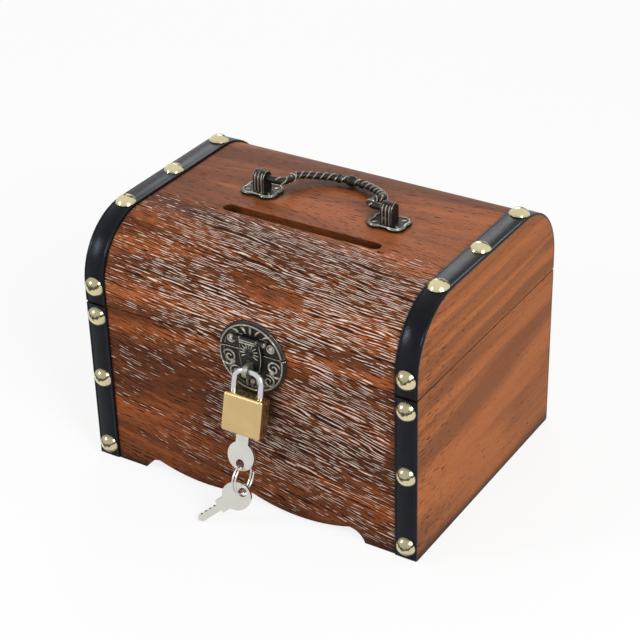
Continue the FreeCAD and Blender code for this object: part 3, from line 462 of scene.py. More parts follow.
def unrolled(shade, place, grain, slant):
    """Where a point lies on the flattened board: along the grain, and across it round the lid's bends."""
    parts = shade.split(place)
    side = "Y" if grain == "X" else "X"
    across = shade.minus(parts["Z"], shade.math("ABSOLUTE", parts[side]))
    across = shade.plus(across, shade.times(parts[grain], slant))
    return shade.join(X=parts[grain], Y=across)


def grain_noise(shade, board, run, width, detail):
    """Noise drawn out along the grain."""
    return shade.noise(shade.stretched(board, (1 / run, 1 / width, 1.0)), detail, GRAIN_ROUGHNESS)


def pore_rows(shade, board, settings):
    """Rows of pores at an even pitch, broken into runs."""
    drift = grain_noise(shade, board, *DRIFT_GRAIN)
    pitches = shade.math("DIVIDE", shade.split(board)["Y"], settings.pore_pitch)
    turn = shade.plus(pitches, shade.times(drift, ROW_DRIFT))
    wave = shade.math("SINE", shade.times(turn, 2 * math.pi))
    broken = grain_noise(shade, board, settings.pore_run, ROW_BREAK * settings.pore_pitch, 1)
    return shade.plus(shade.times(broken, ROW_BROKEN), shade.times(wave, ROW_EVEN))


def rings(shade, place, grain, width):
    """Growth rings about a slanting heart outside the board, so that the figure closes in long arches."""
    inputs = {"Vector": place, "Location": HEART_SHIFT, "Rotation": HEART_TILT[grain]}
    parts = shade.split(shade.add("ShaderNodeMapping", inputs).outputs["Vector"])
    first, second = (parts[axis] for axis in "XYZ" if axis != grain)
    reach = shade.math("SQRT", shade.plus(shade.times(first, first), shade.times(second, second)))
    inputs = {"W": shade.math("DIVIDE", reach, width), "Scale": 1.0, "Detail": 2.0}
    return shade.add("ShaderNodeTexNoise", inputs, noise_dimensions="1D").outputs["Fac"]


def patches(shade, low, high, least):
    """Soft patches of close pores, longer than they are wide."""
    blot = shade.noise(shade.stretched(shade.place, PATCH_DENSITY))
    return shade.ramp(blot, low, high, least, 1.0)


def lid_pores(shade):
    """Close pores over the lid's bends and front, fewer to the left, and few behind the slot."""
    depth = shade.math("ABSOLUTE", shade.minus(shade.along("Y"), LID_CLEAR_Y))
    away = shade.ramp(depth, *LID_CLEAR)
    across = shade.ramp(shade.along("X"), *LID_LEFT)
    return shade.times(patches(shade, *LID_PATCHES), shade.times(away, across))


def front_pores(shade):
    """Close pores to the right of the hasp, and fewer to the left of it and low down."""
    across = shade.ramp(shade.along("X"), *FRONT_LEFT)
    low = shade.ramp(shade.along("Z"), *FRONT_LOW)
    close = shade.times(patches(shade, *FRONT_PATCHES), shade.times(across, low))
    return shade.math("MAXIMUM", close, shade.ramp(shade.along("X"), *FRONT_RIGHT))


def end_pores(shade):
    """Open pores by the front edge, and hardly any behind it."""
    near = shade.ramp(shade.along("Y"), *END_FRONT)
    return shade.times(near, patches(shade, *END_PATCHES))


def front_stripe(shade, board):
    """The dark stripe that falls a little from the left of the front board to its right."""
    level = shade.plus(shade.along("Z"), shade.times(shade.along("X"), STRIPE_FALL))
    ragged = shade.ramp(grain_noise(shade, board, *RAGGED_GRAIN), *STRIPE_RAGGED)
    away = shade.plus(shade.math("ABSOLUTE", shade.minus(level, STRIPE_HEIGHT)), ragged)
    return shade.ramp(away, *STRIPE_EDGE)


class MONEYBOX_OT_boards(bpy.types.Operator):
    """Stains and lacquers the boards of the chest and its lid"""
    bl_idname = "money_box.boards"
    bl_label = "Finish the boards"

    def execute(self, context):
        wood = context.scene.money_box_wood
        lid = wood_finish("lid_board_wood", wood, wood.lid_stain, grain="X", slant=0.115,
                          pores=lid_pores, figured=0.5, bands=0.35, ridge_highlight_strength=0.85)
        front = wood_finish("front_board_wood", wood, wood.front_stain, grain="X", slant=0.175,
                            pores=front_pores, figured=0.5, bands=0.4, ridge_highlight_strength=0.68, stripe=front_stripe)
        end = wood_finish("end_board_wood", wood, wood.end_stain, grain="Y", slant=0.0,
                          pores=end_pores, figured=0.34, bands=0.14, ridge_highlight_strength=0.35, warp=END_WARP)
        bottom = wood_finish("bottom_board_wood", wood, wood.bottom_stain, grain="X", slant=0.0,
                             pores=end_pores, figured=0.35, bands=0.2, ridge_highlight_strength=0.2)
        finish(["lid_shell"], lid)
        finish(["front_panel", "back_panel"], front)
        finish([f"{side}_{board}" for side in SIDES for board in ("end_panel", "lid_cheek")], end)
        finish(["bottom_panel"], bottom)
        return {"FINISHED"}


# Straps

# Section and sweep: a crease's half width as a share of its distance in, angles round the edge in degrees,
# steps along the strap, and the angle from which an edge is sharp
CREASE_SPREAD = 0.3
EDGE_ANGLES = (90, 60, 30, 0)
FLAT_STEPS = 12
LID_FRONT_STEPS = 4
BEND_STEPS = 14
SHARP_EDGE = math.radians(55)

# Leather: clouds in the dye, their tones and roughness, gloss, and the pebbled grain
HIDE_DENSITY = 90
HIDE_EDGE = (0.3, 0.7)
HIDE_LOW = 0.7
HIDE_HIGH = 1.35
HIDE_ROUGHNESS = (0.2, 0.3)
HIDE_GLOSS = 0.14
HIDE_SHEEN = (0.78, 0.87, 1.0)
PEBBLE_DEPTH = 0.06 * MM
PEBBLE_BUMP = 0.5


def strap_section(width, thickness, settings):
    """Closed outline of a strap across its length: (across, up from the wood), flat below, creased above."""
    half = width / 2
    over = settings.round_over
    crease = half - settings.crease_in
    dip = thickness - settings.crease_depth
    wide = CREASE_SPREAD * settings.crease_in
    edge = [(half - over + over * math.sin(turn), thickness - over + over * math.cos(turn))
            for turn in (math.radians(angle) for angle in EDGE_ANGLES)]
    right = [(half, 0.0), *edge, (crease + wide, thickness), (crease, dip), (crease - wide, thickness)]
    return right + [(-across, up) for across, up in reversed(right)]


def straight_path(y_wood, outward, low, high, steps):
    """Stations up a flat face: point on the wood and its outward normal, as (y, z) pairs."""
    return [((y_wood, low + (high - low) * k / steps), (outward, 0.0)) for k in range(steps + 1)]


def lid_path(half_depth, low, top, radius):
    """Stations over the lid, from the front edge round both bends to the back edge."""
    bend_z = top - radius
    bend_y = half_depth - radius
    front = straight_path(-half_depth, -1.0, low, bend_z, LID_FRONT_STEPS)[:-1]
    for k in range(BEND_STEPS + 1):
        turn = math.pi / 2 * k / BEND_STEPS
        out = (-math.cos(turn), math.sin(turn))
        front.append(((-bend_y + radius * out[0], bend_z + radius * out[1]), out))
    back = [((-y, z), (-out_y, out_z)) for (y, z), (out_y, out_z) in reversed(front)]
    return front + back


def strap_mesh(name, x_middle, path, section):
    """Sweeps the section along the path and closes both ends."""
    mesh = bpy.data.meshes.new(name)
    work = bmesh.new()
    rows = []
    for (y, z), (out_y, out_z) in path:
        rows.append([work.verts.new((x_middle + across, y + out_y * up, z + out_z * up))
                     for across, up in section])
    count = len(section)
    for first, second in zip(rows, rows[1:]):
        for k in range(count):
            work.faces.new((first[k], first[(k + 1) % count], second[(k + 1) % count], second[k]))
    work.faces.new(rows[0])
    work.faces.new(list(reversed(rows[-1])))
    bmesh.ops.recalc_face_normals(work, faces=work.faces)
    for face in work.faces:
        face.smooth = len(face.verts) == 4
    for edge in work.edges:
        edge.smooth = edge.is_manifold and edge.calc_face_angle(0) < SHARP_EDGE
    work.to_mesh(mesh)
    work.free()
    return mesh


def leather_finish(name, settings):
    """Dyed leather with a fine pebbled grain and a cool sheen."""
    shade = Shade(name)
    pebble = shade.cells(shade.evenly(1 / settings.grain))
    soft = shade.noise(shade.evenly(HIDE_DENSITY), detail=3, roughness=0.6)
    dye = settings.leather
    tone = shade.mix(shade.ramp(soft, *HIDE_EDGE), darker(dye, HIDE_LOW), darker(dye, HIDE_HIGH))
    rough = shade.ramp(soft, *HIDE_EDGE, *HIDE_ROUGHNESS)
    shade.set(Base_Color=tone, Roughness=rough, Specular_IOR_Level=HIDE_GLOSS, Specular_Tint=HIDE_SHEEN)
    shade.bump(pebble, PEBBLE_DEPTH, PEBBLE_BUMP)
    return shade.material


class MONEYBOX_OT_straps(bpy.types.Operator):
    """Lays the creased leather straps over the chest and the lid"""
    bl_idname = "money_box.straps"
    bl_label = "Lay the straps"

    def execute(self, context):
        settings = context.scene.money_box_straps
        leather = leather_finish("strap_leather", settings)
        wood_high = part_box("lid_shell")[1]
        for side in SIDES:
            for part, body in (("front", "chest"), ("back", "chest"), ("lid", "lid")):
                node = f"{side}_{part}_strap"
                low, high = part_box(node)
                if part == "lid":
                    thickness = high.z - wood_high.z
                    path = lid_path(wood_high.y, low.z, wood_high.z, LID_BEND)
                else:
                    thickness = high.y - low.y
                    outward, y_wood = (-1.0, high.y) if part == "front" else (1.0, low.y)
                    path = straight_path(y_wood, outward, low.z, high.z, FLAT_STEPS)
                section = strap_section(high.x - low.x, thickness, settings)
                mesh = strap_mesh(f"{node}_leather", (low.x + high.x) / 2, path, section)
                add_piece(f"{node}_leather", mesh, leather, body, "strap_leather", node)
        return {"FINISHED"}


# Metal

# Bare metal: units of noise to the metre, noise levels, and what they do to colour and roughness
CLOUD_DENSITY = 160
FINE_DENSITY = 900
BRUSH_ALONG = 120
BRUSH_ACROSS = 5000
CLOUD_EDGE = (0.35, 0.75)
CLOUD_SHADE = 0.45
CLOUD_ROUGHENS = (0.4, 0.8, 0.0, 0.12)
LINE_EDGE = (0.3, 0.7)
LINE_SMOOTH = 0.75
LINE_ROUGH = 1.25
LINE_DEPTH = 0.02 * MM
LINE_BUMP = 0.5
PAINTED_REFLECTION_LEVEL = 0.05

# Painted reflection and painted shade on the dome nails: a dark crescent in place of the mirrored room, and
# darkening round each foot. Lean to the side, bend, raggedness, lower and upper edge, foot and cover
CRESCENT_LEAN = 0.1
CRESCENT_BEND = 0.7
CRESCENT_RAGGED = (0.2, 0.8, -0.1, 0.1)
CRESCENT_LOW = (-0.06, 0.06)
CRESCENT_HIGH = (0.3, 0.12, 0.4, 1.0)
PAINTED_FOOT_SHADE = (6 * MM, 0.9, 0.75)
CRESCENT_COVER = 0.95

# Aged bronze: its mottle, rounded edges and where they are worn, hollows and their share of wear, and polish
MOTTLE_DENSITY = 420
MOTTLE_FROM = 0.66
MOTTLE_TO = 0.9
MOTTLE_DEPTH = 0.12 * MM
MOTTLE_BUMP = 0.6
BRONZE_EDGE = 0.45 * MM
EDGE_WEAR = (0.985, 0.85)
HOLLOW = (1.5 * MM, 0.75, 0.25)
HOLLOW_WEAR = 0.2
BRONZE_METAL = 0.9
BRONZE_ROUGHNESS = (0.5, 0.24)


def metal_finish(name, tone, roughness, spots, brush=None, painted_reflection_mask=None):
    """Bare metal with soft spots.

    brush is the axis that fine polishing lines run along. The last argument says where painted reflection
    and painted shade darken the metal.
    """
    shade = Shade(name)
    cloud = shade.noise(shade.evenly(CLOUD_DENSITY), detail=3, roughness=0.6)
    if brush:
        scale = tuple(BRUSH_ALONG if axis == brush else BRUSH_ACROSS for axis in "XYZ")
        fine = shade.stretched(shade.place, scale)
    else:
        fine = shade.evenly(FINE_DENSITY)
    line = shade.noise(fine, roughness=0.6)
    blend = shade.mix(shade.ramp(cloud, *CLOUD_EDGE, 0.0, spots), tone, darker(tone, CLOUD_SHADE))
    # Painted reflection and painted shade, not real tarnish, darken the metal under this mask
    if painted_reflection_mask:
        blend = shade.mix(painted_reflection_mask(shade), blend, darker(tone, PAINTED_REFLECTION_LEVEL))
    polish = shade.ramp(line, *LINE_EDGE, roughness * LINE_SMOOTH, roughness * LINE_ROUGH)
    rough = shade.plus(polish, shade.ramp(cloud, *CLOUD_ROUGHENS))
    shade.set(Base_Color=blend, Metallic=1.0, Roughness=rough)
    shade.bump(line, LINE_DEPTH, LINE_BUMP)
    return shade.material


def bronze_finish(name, ground, worn, wear):
    """Aged bronze: dark in the hollows, rubbed bright where the metal stands up."""
    shade = Shade(name)
    mottle = shade.noise(shade.evenly(MOTTLE_DENSITY), detail=4, roughness=0.65)
    eased = shade.eased_edges(BRONZE_EDGE)
    flat = shade.add("ShaderNodeNewGeometry").outputs["Normal"]
    edge = shade.ramp(shade.dot(eased, flat), *EDGE_WEAR)
    rub = shade.plus(edge, shade.ramp(mottle, MOTTLE_FROM - wear, MOTTLE_TO - wear))
    kept = shade.ramp(shade.crevice(*HOLLOW), 0.0, 1.0, 1.0, HOLLOW_WEAR)
    rub = shade.times(shade.math("MINIMUM", rub, 1.0), kept)
    shade.set(Base_Color=shade.mix(rub, ground, worn), Metallic=BRONZE_METAL,
              Roughness=shade.ramp(rub, 0.0, 1.0, *BRONZE_ROUGHNESS))
    shade.bump(mottle, MOTTLE_DEPTH, MOTTLE_BUMP, eased)
    return shade.material


def dome_painted_reflection(shade):
    """Painted reflection: a dark crescent across each dome along its strap, a dimmer crown above, and
    painted shade at its foot.
    """
    wood_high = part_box("lid_shell")[1]
    bend_y = wood_high.y - LID_BEND
    bend_z = wood_high.z - LID_BEND
    core = shade.vector("MINIMUM", shade.place, (1.0, bend_y, bend_z))
    core = shade.vector("MAXIMUM", core, (-1.0, -bend_y, -1.0))
    outward = shade.split(shade.vector("NORMALIZE", shade.vector("SUBTRACT", shade.place, core)))
    along = shade.join(Y=outward["Z"], Z=shade.times(outward["Y"], -1.0))
    lean = shade.minus(shade.split(shade.face)["X"], CRESCENT_LEAN)
    bend = shade.times(shade.times(lean, lean), CRESCENT_BEND)
    ragged = shade.ramp(shade.noise(shade.evenly(FINE_DENSITY)), *CRESCENT_RAGGED)
    rise = shade.plus(shade.minus(shade.dot(shade.face, along), bend), ragged)
    crescent = shade.times(shade.ramp(rise, *CRESCENT_LOW), shade.ramp(rise, *CRESCENT_HIGH))
    return shade.times(shade.math("MAXIMUM", crescent, shade.crevice(*PAINTED_FOOT_SHADE)), CRESCENT_COVER)


class MONEYBOX_OT_dome_nails(bpy.types.Operator):
    """Polishes the dome nails of the straps"""
    bl_idname = "money_box.dome_nails"
    bl_label = "Polish the dome nails"

    def execute(self, context):
        metal = context.scene.money_box_metal
        # The nails' dark crescent is a painted reflection, and their dark foot is painted shade
        brass = metal_finish("dome_brass", metal.dome_brass, roughness=0.14, spots=0.2, painted_reflection_mask=dome_painted_reflection)
        finish(["front_strap_nails", "back_strap_nails", "lid_strap_nails"], brass)
        return {"FINISHED"}


class MONEYBOX_OT_hinges(bpy.types.Operator):
    """Finishes the two back hinges"""
    bl_idname = "money_box.hinges"
    bl_label = "Finish the hinges"

    def execute(self, context):
        metal = context.scene.money_box_metal
        brass = metal_finish("hinge_brass", metal.hinge_brass, roughness=0.3, spots=0.45, brush="X")
        leaves = [f"{side}_hinge_{leaf}_leaf" for side in SIDES for leaf in ("body", "lid")]
        finish(leaves + ["body_hinge_nails", "lid_hinge_nails", "hinge_pins"], brass)
        return {"FINISHED"}


# Reliefs of the hasp and handle

# Hasp plates. Places and lengths are shares of the plate's radius, and thicknesses of the relief's.
# A scroll has its middle, radius, turns, start, hand and thickness.
# A leaf or tip has its root, direction, reach, thickness and, for a leaf, its curl
LOWER_SCROLLS = (
    ((0.66, -0.14), 0.2, 1.4, 0.3, 1, 0.9),
    ((0.5, -0.56), 0.19, 1.4, 1.9, -1, 0.9),
)
LOWER_LEAVES = (
    ((0.62, -0.36), -0.5, 0.24, 0.9, 0.6),
    ((0.12, -0.62), -1.0, 0.26, 0.9, -0.5),
)
LOWER_TIP = ((0.0, -0.56), -math.pi / 2, 0.3, 1.0)
UPPER_LEAVES = (
    ((0.14, 0.66), 1.25, 0.24, 0.9, -0.4),
    ((0.36, 0.64), 0.85, 0.24, 0.9, -0.5),
)
UPPER_TIP = ((0.0, 0.64), math.pi / 2, 0.26, 1.0)
NAIL_RING_OUT = 0.02
NAIL_RING_THICK = 0.7

# Rims of the plates: crest and beginning in shares of the radius, thickness, and ends in degrees
RIM_CREST = 0.93
RIM_FROM = 0.9
RIM_THICK = 0.7
UPPER_RIM = (13, 167)
LOWER_RIM = (172, 368)

# Lift off the plate in shares of the relief, level of the ground in shares of the rubbed bronze, roundness
PLATE_LIFT = 0.7
PLATE_GROUND = 0.5
RELIEF_ROUNDNESS = 3

# Steps to a turn of a scroll, and to a leaf, a ring and a rim
SCROLL_STEPS = 28
LEAF_STEPS = 10
RING_STEPS = 24
RIM_STEPS = 48

# Shape of one scroll and one leaf, as shares of its own radius, run or thickness
SCROLL_IN = 0.8
SCROLL_THIN = 0.45
SCROLL_SWELL = 0.55
SCROLL_SWELL_FROM = 0.15
LEAF_THIN = 0.25
LEAF_SWELL = 0.9
LEAF_SWELL_FROM = 0.12
LEAF_SWELL_RUN = 0.8

# Flap: leaves each side of the fan's middle one, and the knuckle's pale lines, a painted highlight on its
# edges, in degrees and shares of its length
FAN_SIDE_LEAVES = 5
FAN_STEP = math.radians(24)
FAN_REACH = 2.4 * MM
FAN_THICK = 0.8
FAN_RELIEF = 0.7
KNUCKLE_LINE_RADIUS = 1.08 * MM
KNUCKLE_LINE_ANGLES = (-28, 28)
KNUCKLE_LINE_POINTS = (-0.46, 0.0, 0.46)
KNUCKLE_RELIEF = 0.6

# Handle: relief and ground as on the plates, roses with angles in degrees, ribs of the posts, and the bail
HANDLE_RELIEF = 0.8
HANDLE_GROUND = 0.45
ROSE_RIM = 0.8 * MM
ROSE_CORNERS = ((1, 1), (-1, 1), (-1, -1), (1, -1))
LOBE_STEPS = 8
LOBE_START = -25
LOBE_SWEEP = 140
LOBE_RIB = 0.8
LOBE_RIB_THICK = 0.9
POST_RIBS = (-0.3, 0.0, 0.3)
POST_RIB_THICK = 0.9
POST_RIB_TAPER = 0.1
POST_STEPS = 4
POST_HEAD_STEPS = 5
POST_HEAD_STEP = 11
CROWN_STEPS = 60
CURL_STEPS = 24
NECK_STEPS = 12
HEEL_STEPS = 16
TWIST_PITCH = 6.5 * MM
TWIST_THICK = 0.8


def around(middle, radius, turn):
    """The point at an angle on a circle."""
    return (middle[0] + radius * math.cos(turn), middle[1] + radius * math.sin(turn))


def scroll(middle, radius, turns, start, hand, thick):
    """Points of a spiral that runs inwards, as (across, up, thickness)."""
    count = int(SCROLL_STEPS * turns)
    points = []
    for k in range(count + 1):
        part = k / count
        turn = start + hand * part * turns * 2 * math.pi
        swell = math.sin(math.pi * min(1.0, SCROLL_SWELL_FROM + (1 - SCROLL_SWELL_FROM) * part))
        place = around(middle, radius * (1 - SCROLL_IN * part), turn)
        points.append((*place, thick * (SCROLL_THIN + SCROLL_SWELL * swell)))
    return points


def leaf(root, direction, reach, thick, curl=0.0):
    """Points of a leaf rib that swells in the middle and ends in a tip."""
    points = []
    for k in range(LEAF_STEPS + 1):
        part = k / LEAF_STEPS
        swell = math.sin(math.pi * (LEAF_SWELL_FROM + LEAF_SWELL_RUN * part))
        place = around(root, reach * part, direction + curl * part)
        points.append((*place, thick * (LEAF_THIN + LEAF_SWELL * swell)))
    return points


def ring(middle, radius, thick):
    """Points of a closed ring."""
    turns = [2 * math.pi * k / RING_STEPS for k in range(RING_STEPS + 1)]
    return [(*around(middle, radius, turn), thick) for turn in turns]


def rim_arc(start, end):
    """Points of the bright line along a plate's rim, between two angles in degrees."""
    turns = [math.radians(start + (end - start) * k / RIM_STEPS) for k in range(RIM_STEPS + 1)]
    return [(*around((0.0, 0.0), RIM_CREST, turn), RIM_THICK) for turn in turns]


def mirrored(lines):
    """Lines together with their mirror images to the left."""
    return lines + [[(-across, up, swell) for across, up, swell in line] for line in lines]


def add_relief(name, lines, thickness, material, body, to_place=None):
    """Raised lines of bronze on a body. to_place turns (across, up) into a point of a plate's face."""
    curve = bpy.data.curves.new(name, "CURVE")
    curve.dimensions = "3D"
    curve.bevel_depth = thickness
    curve.bevel_resolution = RELIEF_ROUNDNESS
    curve.use_fill_caps = True
    for line in lines:
        spline = curve.splines.new("POLY")
        spline.points.add(len(line) - 1)
        for point, (*place, swell) in zip(spline.points, line):
            point.co = (*(to_place(*place) if to_place else place), 1.0)
            point.radius = swell
    add_piece(name, curve, material, body, "dark_bronze")


def add_plate_scrolls(relief, material):
    """Scrolls, leaves and rim of the two hasp plates, and rings about the upper plate's nails."""
    low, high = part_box("lower_hasp_plate")
    middle_x = (low.x + high.x) / 2
    radius = (high.x - low.x) / 2
    middle_z = low.z + radius
    face = low.y + PLATE_LIFT * relief

    def on_plate(across, up):
        on_rim = math.hypot(across, up) > RIM_FROM
        return (middle_x + across * radius, low.y if on_rim else face, middle_z + up * radius)

    nails_low, nails_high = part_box("upper_plate_nails")
    nail_radius = (nails_high.z - nails_low.z) / 2 / radius
    nail_x = (nails_high.x - nails_low.x) / 2 / radius - nail_radius
    nail_up = ((nails_low.z + nails_high.z) / 2 - middle_z) / radius
    nail_ring = ring((nail_x, nail_up), nail_radius + NAIL_RING_OUT, NAIL_RING_THICK)

    lower = mirrored([scroll(*sizes) for sizes in LOWER_SCROLLS] + [leaf(*sizes) for sizes in LOWER_LEAVES])
    lower += [leaf(*LOWER_TIP), rim_arc(*LOWER_RIM)]
    upper = mirrored([nail_ring] + [leaf(*sizes) for sizes in UPPER_LEAVES])
    upper += [leaf(*UPPER_TIP), rim_arc(*UPPER_RIM)]
    add_relief("lower_plate_scrolls", lower, relief, material, "chest", on_plate)
    add_relief("upper_plate_scrolls", upper, relief, material, "lid", on_plate)


def add_flap_lines(relief, material):
    """The fan about the flap's boss, and pale ribs along its knuckle that stand in for its edge highlights.
    """
    low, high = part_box("hasp_flap")
    middle_x = (low.x + high.x) / 2
    boss_z = high.z - FLAP_BOSS_DOWN
    face = low.y + FLAP_BOSS_HEIGHT

    def on_flap(across, up):
        return (middle_x + across, face, boss_z + up)

    fan = []
    for k in range(-FAN_SIDE_LEAVES, FAN_SIDE_LEAVES + 1):
        turn = math.pi / 2 + k * FAN_STEP
        fan.append(leaf(around((0.0, 0.0), FLAP_BOSS_RADIUS, turn), turn, FAN_REACH, FAN_THICK))
    add_relief("flap_fan", fan, FAN_RELIEF * relief, material, "hasp_flap", on_flap)

    # Pale raised ribs on the knuckle's upper and lower edges: partly painted highlight
    axis = (face - KNUCKLE_RADIUS + FLAP_THICK, high.z - KNUCKLE_RADIUS)
    bars = []
    for angle in KNUCKLE_LINE_ANGLES:
        place = around(axis, KNUCKLE_LINE_RADIUS, math.pi - math.radians(angle))
        bars.append([(middle_x + across * KNUCKLE_LENGTH, *place, 1.0) for across in KNUCKLE_LINE_POINTS])
    add_relief("flap_knuckle_highlight_lines", bars, KNUCKLE_RELIEF * relief, material, "hasp_flap")


def rose_outline(lobe_x, lobe_y, radius):
    """The raised rim of a four-lobed rose, and a rib in each lobe."""
    rim = []
    ribs = []
    for lobe, (side_x, side_y) in enumerate(ROSE_CORNERS):
        middle = (side_x * lobe_x, side_y * lobe_y)
        for k in range(LOBE_STEPS + 1):
            turn = math.radians(90 * lobe + LOBE_START + LOBE_SWEEP * k / LOBE_STEPS)
            rim.append((*around(middle, radius, turn), 1.0))
        ribs.append(leaf(middle, math.atan2(side_y, side_x), LOBE_RIB * radius, LOBE_RIB_THICK))
    rim.append(rim[0])
    return [rim] + ribs


def add_rose_rim(side, relief, material):
    """The rim and ribs on top of one of the handle's roses."""
    low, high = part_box(f"{side}_handle_rose")
    middle = (low + high) / 2

    def on_rose(across, up):
        return (middle.x + across, middle.y + up, high.z)

    half_x = (high.x - low.x) / 2
    half_y = (high.y - low.y) / 2
    lines = rose_outline(half_x - ROSE_LOBE, half_y - ROSE_LOBE, ROSE_LOBE - ROSE_RIM)
    add_relief(f"{side}_rose_rim", lines, relief, material, "lid", on_rose)


def post_ribs(low, high):
    """Ribs up the front and back of a post, tapering over its round head."""
    half = (high.y - low.y) / 2
    middle = (low + high) / 2
    head_z = high.z - half
    ribs = []
    for across in POST_RIBS:
        x = middle.x + across * (high.x - low.x)
        for way in (-1, 1):
            y = middle.y + way * half
            rib = [(x, y, low.z + (head_z - low.z) * k / POST_STEPS, POST_RIB_THICK)
                   for k in range(POST_STEPS + 1)]
            for k in range(1, POST_HEAD_STEPS + 1):
                turn = math.radians(POST_HEAD_STEP * k)
                rib.append((x, middle.y + way * half * math.cos(turn), head_z + half * math.sin(turn),
                            POST_RIB_THICK - POST_RIB_TAPER * k))
            ribs.append(rib)
    return ribs


def bail_line():
    """The bail's middle line in its own plane, from one post to the other: (across, rise) points."""
    heart = BAIL_RISE - CROWN_RADIUS
    reach = CROWN_RADIUS - CURL_RADIUS
    curl_x = NECK_X + NECK_RADIUS - math.sqrt((NECK_RADIUS + CURL_RADIUS) ** 2 - NECK_DROP ** 2)
    curl_y = heart + math.sqrt(reach ** 2 - curl_x ** 2)
    neck = (NECK_X + NECK_RADIUS, curl_y - NECK_DROP)
    crown_turn = math.atan2(curl_y - heart, curl_x)
    neck_turn = math.atan2(NECK_DROP, curl_x - neck[0])

    def bend(middle, radius, start, end, count):
        return [around(middle, radius, start + (end - start) * k / count) for k in range(count + 1)]

    half = bend((0.0, heart), CROWN_RADIUS, math.pi / 2, crown_turn, CROWN_STEPS)
    half += bend((curl_x, curl_y), CURL_RADIUS, crown_turn, neck_turn - math.pi, CURL_STEPS)[1:]
    half += bend(neck, NECK_RADIUS, neck_turn, math.pi, NECK_STEPS)[1:]
    half += bend((NECK_X + HEEL_RADIUS, HEEL_RADIUS), HEEL_RADIUS, math.pi, 1.5 * math.pi, HEEL_STEPS)
    return [(-across, rise) for across, rise in reversed(half)][:-1] + half


def bail_twist():
    """Two strands twisted round the bail, where it lies back on the lid."""
    post_low, post_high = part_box("left_handle_post")
    middle_x = (post_low.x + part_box("right_handle_post")[1].x) / 2
    middle_y = (post_low.y + post_high.y) / 2
    pivot = Vector((middle_x, middle_y, post_high.z - (post_high.y - post_low.y) / 2))
    right = Vector((1, 0, 0))
    rise = Vector((0, math.cos(BAIL_DROOP), -math.sin(BAIL_DROOP)))
    up = right.cross(rise)
    line = [pivot + right * across + rise * height for across, height in bail_line()]
    strands = []
    for start in (0.0, math.pi):
        strand = []
        run = 0.0
        for before, here, after in zip(line, line[1:], line[2:]):
            run += (here - before).length
            side = (after - before).normalized().cross(up)
            wind = start + run / TWIST_PITCH * 2 * math.pi
            place = here + (side * math.cos(wind) + up * math.sin(wind)) * BAIL_RADIUS
            strand.append((*place, TWIST_THICK))
        strands.append(strand)
    return strands


class MONEYBOX_OT_hasp(bpy.types.Operator):
    """Ages the hasp and raises the scrolls on its plates and flap"""
    bl_idname = "money_box.hasp"
    bl_label = "Finish the hasp"

    def execute(self, context):
        metal = context.scene.money_box_metal
        ground = bronze_finish("dark_bronze_plate", metal.bronze, metal.rubbed, wear=0.04)
        dull = darker(metal.rubbed, PLATE_GROUND)
        worn = bronze_finish("rubbed_bronze_relief", dull, metal.rubbed, wear=0.2)
        finish(["upper_hasp_plate", "lower_hasp_plate", "hasp_flap"], ground)
        finish(["hasp_staple", "hasp_hinge_pin", "upper_plate_nails", "lower_plate_nails"], worn)
        add_plate_scrolls(metal.relief, worn)
        add_flap_lines(metal.relief, worn)
        return {"FINISHED"}


class MONEYBOX_OT_handle(bpy.types.Operator):
    """Ages the drop handle with its posts and roses"""
    bl_idname = "money_box.handle"
    bl_label = "Finish the handle"

    def execute(self, context):
        metal = context.scene.money_box_metal
        cast = bronze_finish("dark_bronze_casting", metal.bronze, metal.rubbed, wear=0.08)
        dull = darker(metal.rubbed, HANDLE_GROUND)
        worn = bronze_finish("rubbed_bronze_casting", dull, metal.rubbed, wear=0.2)
        screw = metal_finish("handle_screw_steel", metal.steel, roughness=0.35, spots=0.3)
        mounts = [f"{side}_handle_{part}" for side in SIDES for part in ("rose", "post")]
        finish(["handle_bail"] + mounts, cast)
        finish(["handle_screws"], screw)
        relief = HANDLE_RELIEF * metal.relief
        for side in SIDES:
            add_rose_rim(side, relief, worn)
            ribs = post_ribs(*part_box(f"{side}_handle_post"))
            add_relief(f"{side}_post_ribs", ribs, relief, worn, "lid")
        add_relief("bail_twist", bail_twist(), relief, worn, "handle")
        return {"FINISHED"}


class MONEYBOX_OT_padlock(bpy.types.Operator):
    """Brushes the padlock's case and polishes its shackle"""
    bl_idname = "money_box.padlock"
    bl_label = "Finish the padlock"

    def execute(self, context):
        metal = context.scene.money_box_metal
        brass = metal_finish("padlock_brass", metal.lock_brass, roughness=0.25, spots=0.15, brush="Z")
        shackle = metal_finish("shackle_steel", metal.steel, roughness=0.12, spots=0.12)
        latch = metal_finish("latch_steel", metal.steel, roughness=0.3, spots=0.3)
        finish(["padlock_case", "lock_plug", "lock_wafers"], brass)
        finish(["padlock_shackle"], shackle)
        finish(["latch_bolt", "plug_cross_pin"], latch)
        return {"FINISHED"}


class MONEYBOX_OT_keys(bpy.types.Operator):
    """Plates the keys and the split ring"""
    bl_idname = "money_box.keys"
    bl_label = "Plate the keys"

    def execute(self, context):
        metal = context.scene.money_box_metal
        nickel = metal_finish("key_nickel", metal.nickel, roughness=0.24, spots=0.15)
        finish(["lock_key", "spare_key", "key_ring"], nickel)
        return {"FINISHED"}


# Stage

# Lamps: name, place, aim, size in metres and power in watts
LAMPS = (
    ("key_lamp", (0.85, -0.5, 0.7), (0, 0, 0.05), 0.4, 8.0),
    ("fill_lamp", (-0.75, -0.75, 0.6), (0, 0, 0.05), 0.25, 4.0),
    ("back_lamp", (-0.55, 0.95, 0.72), (0, 0, 0.1), 0.45, 2.0),
)
FLOOR_HALF = 4.0
FLOOR_GAP = 0.1 * MM
FRAME_WIDTH = 36
NEAR_CLIP = 0.01


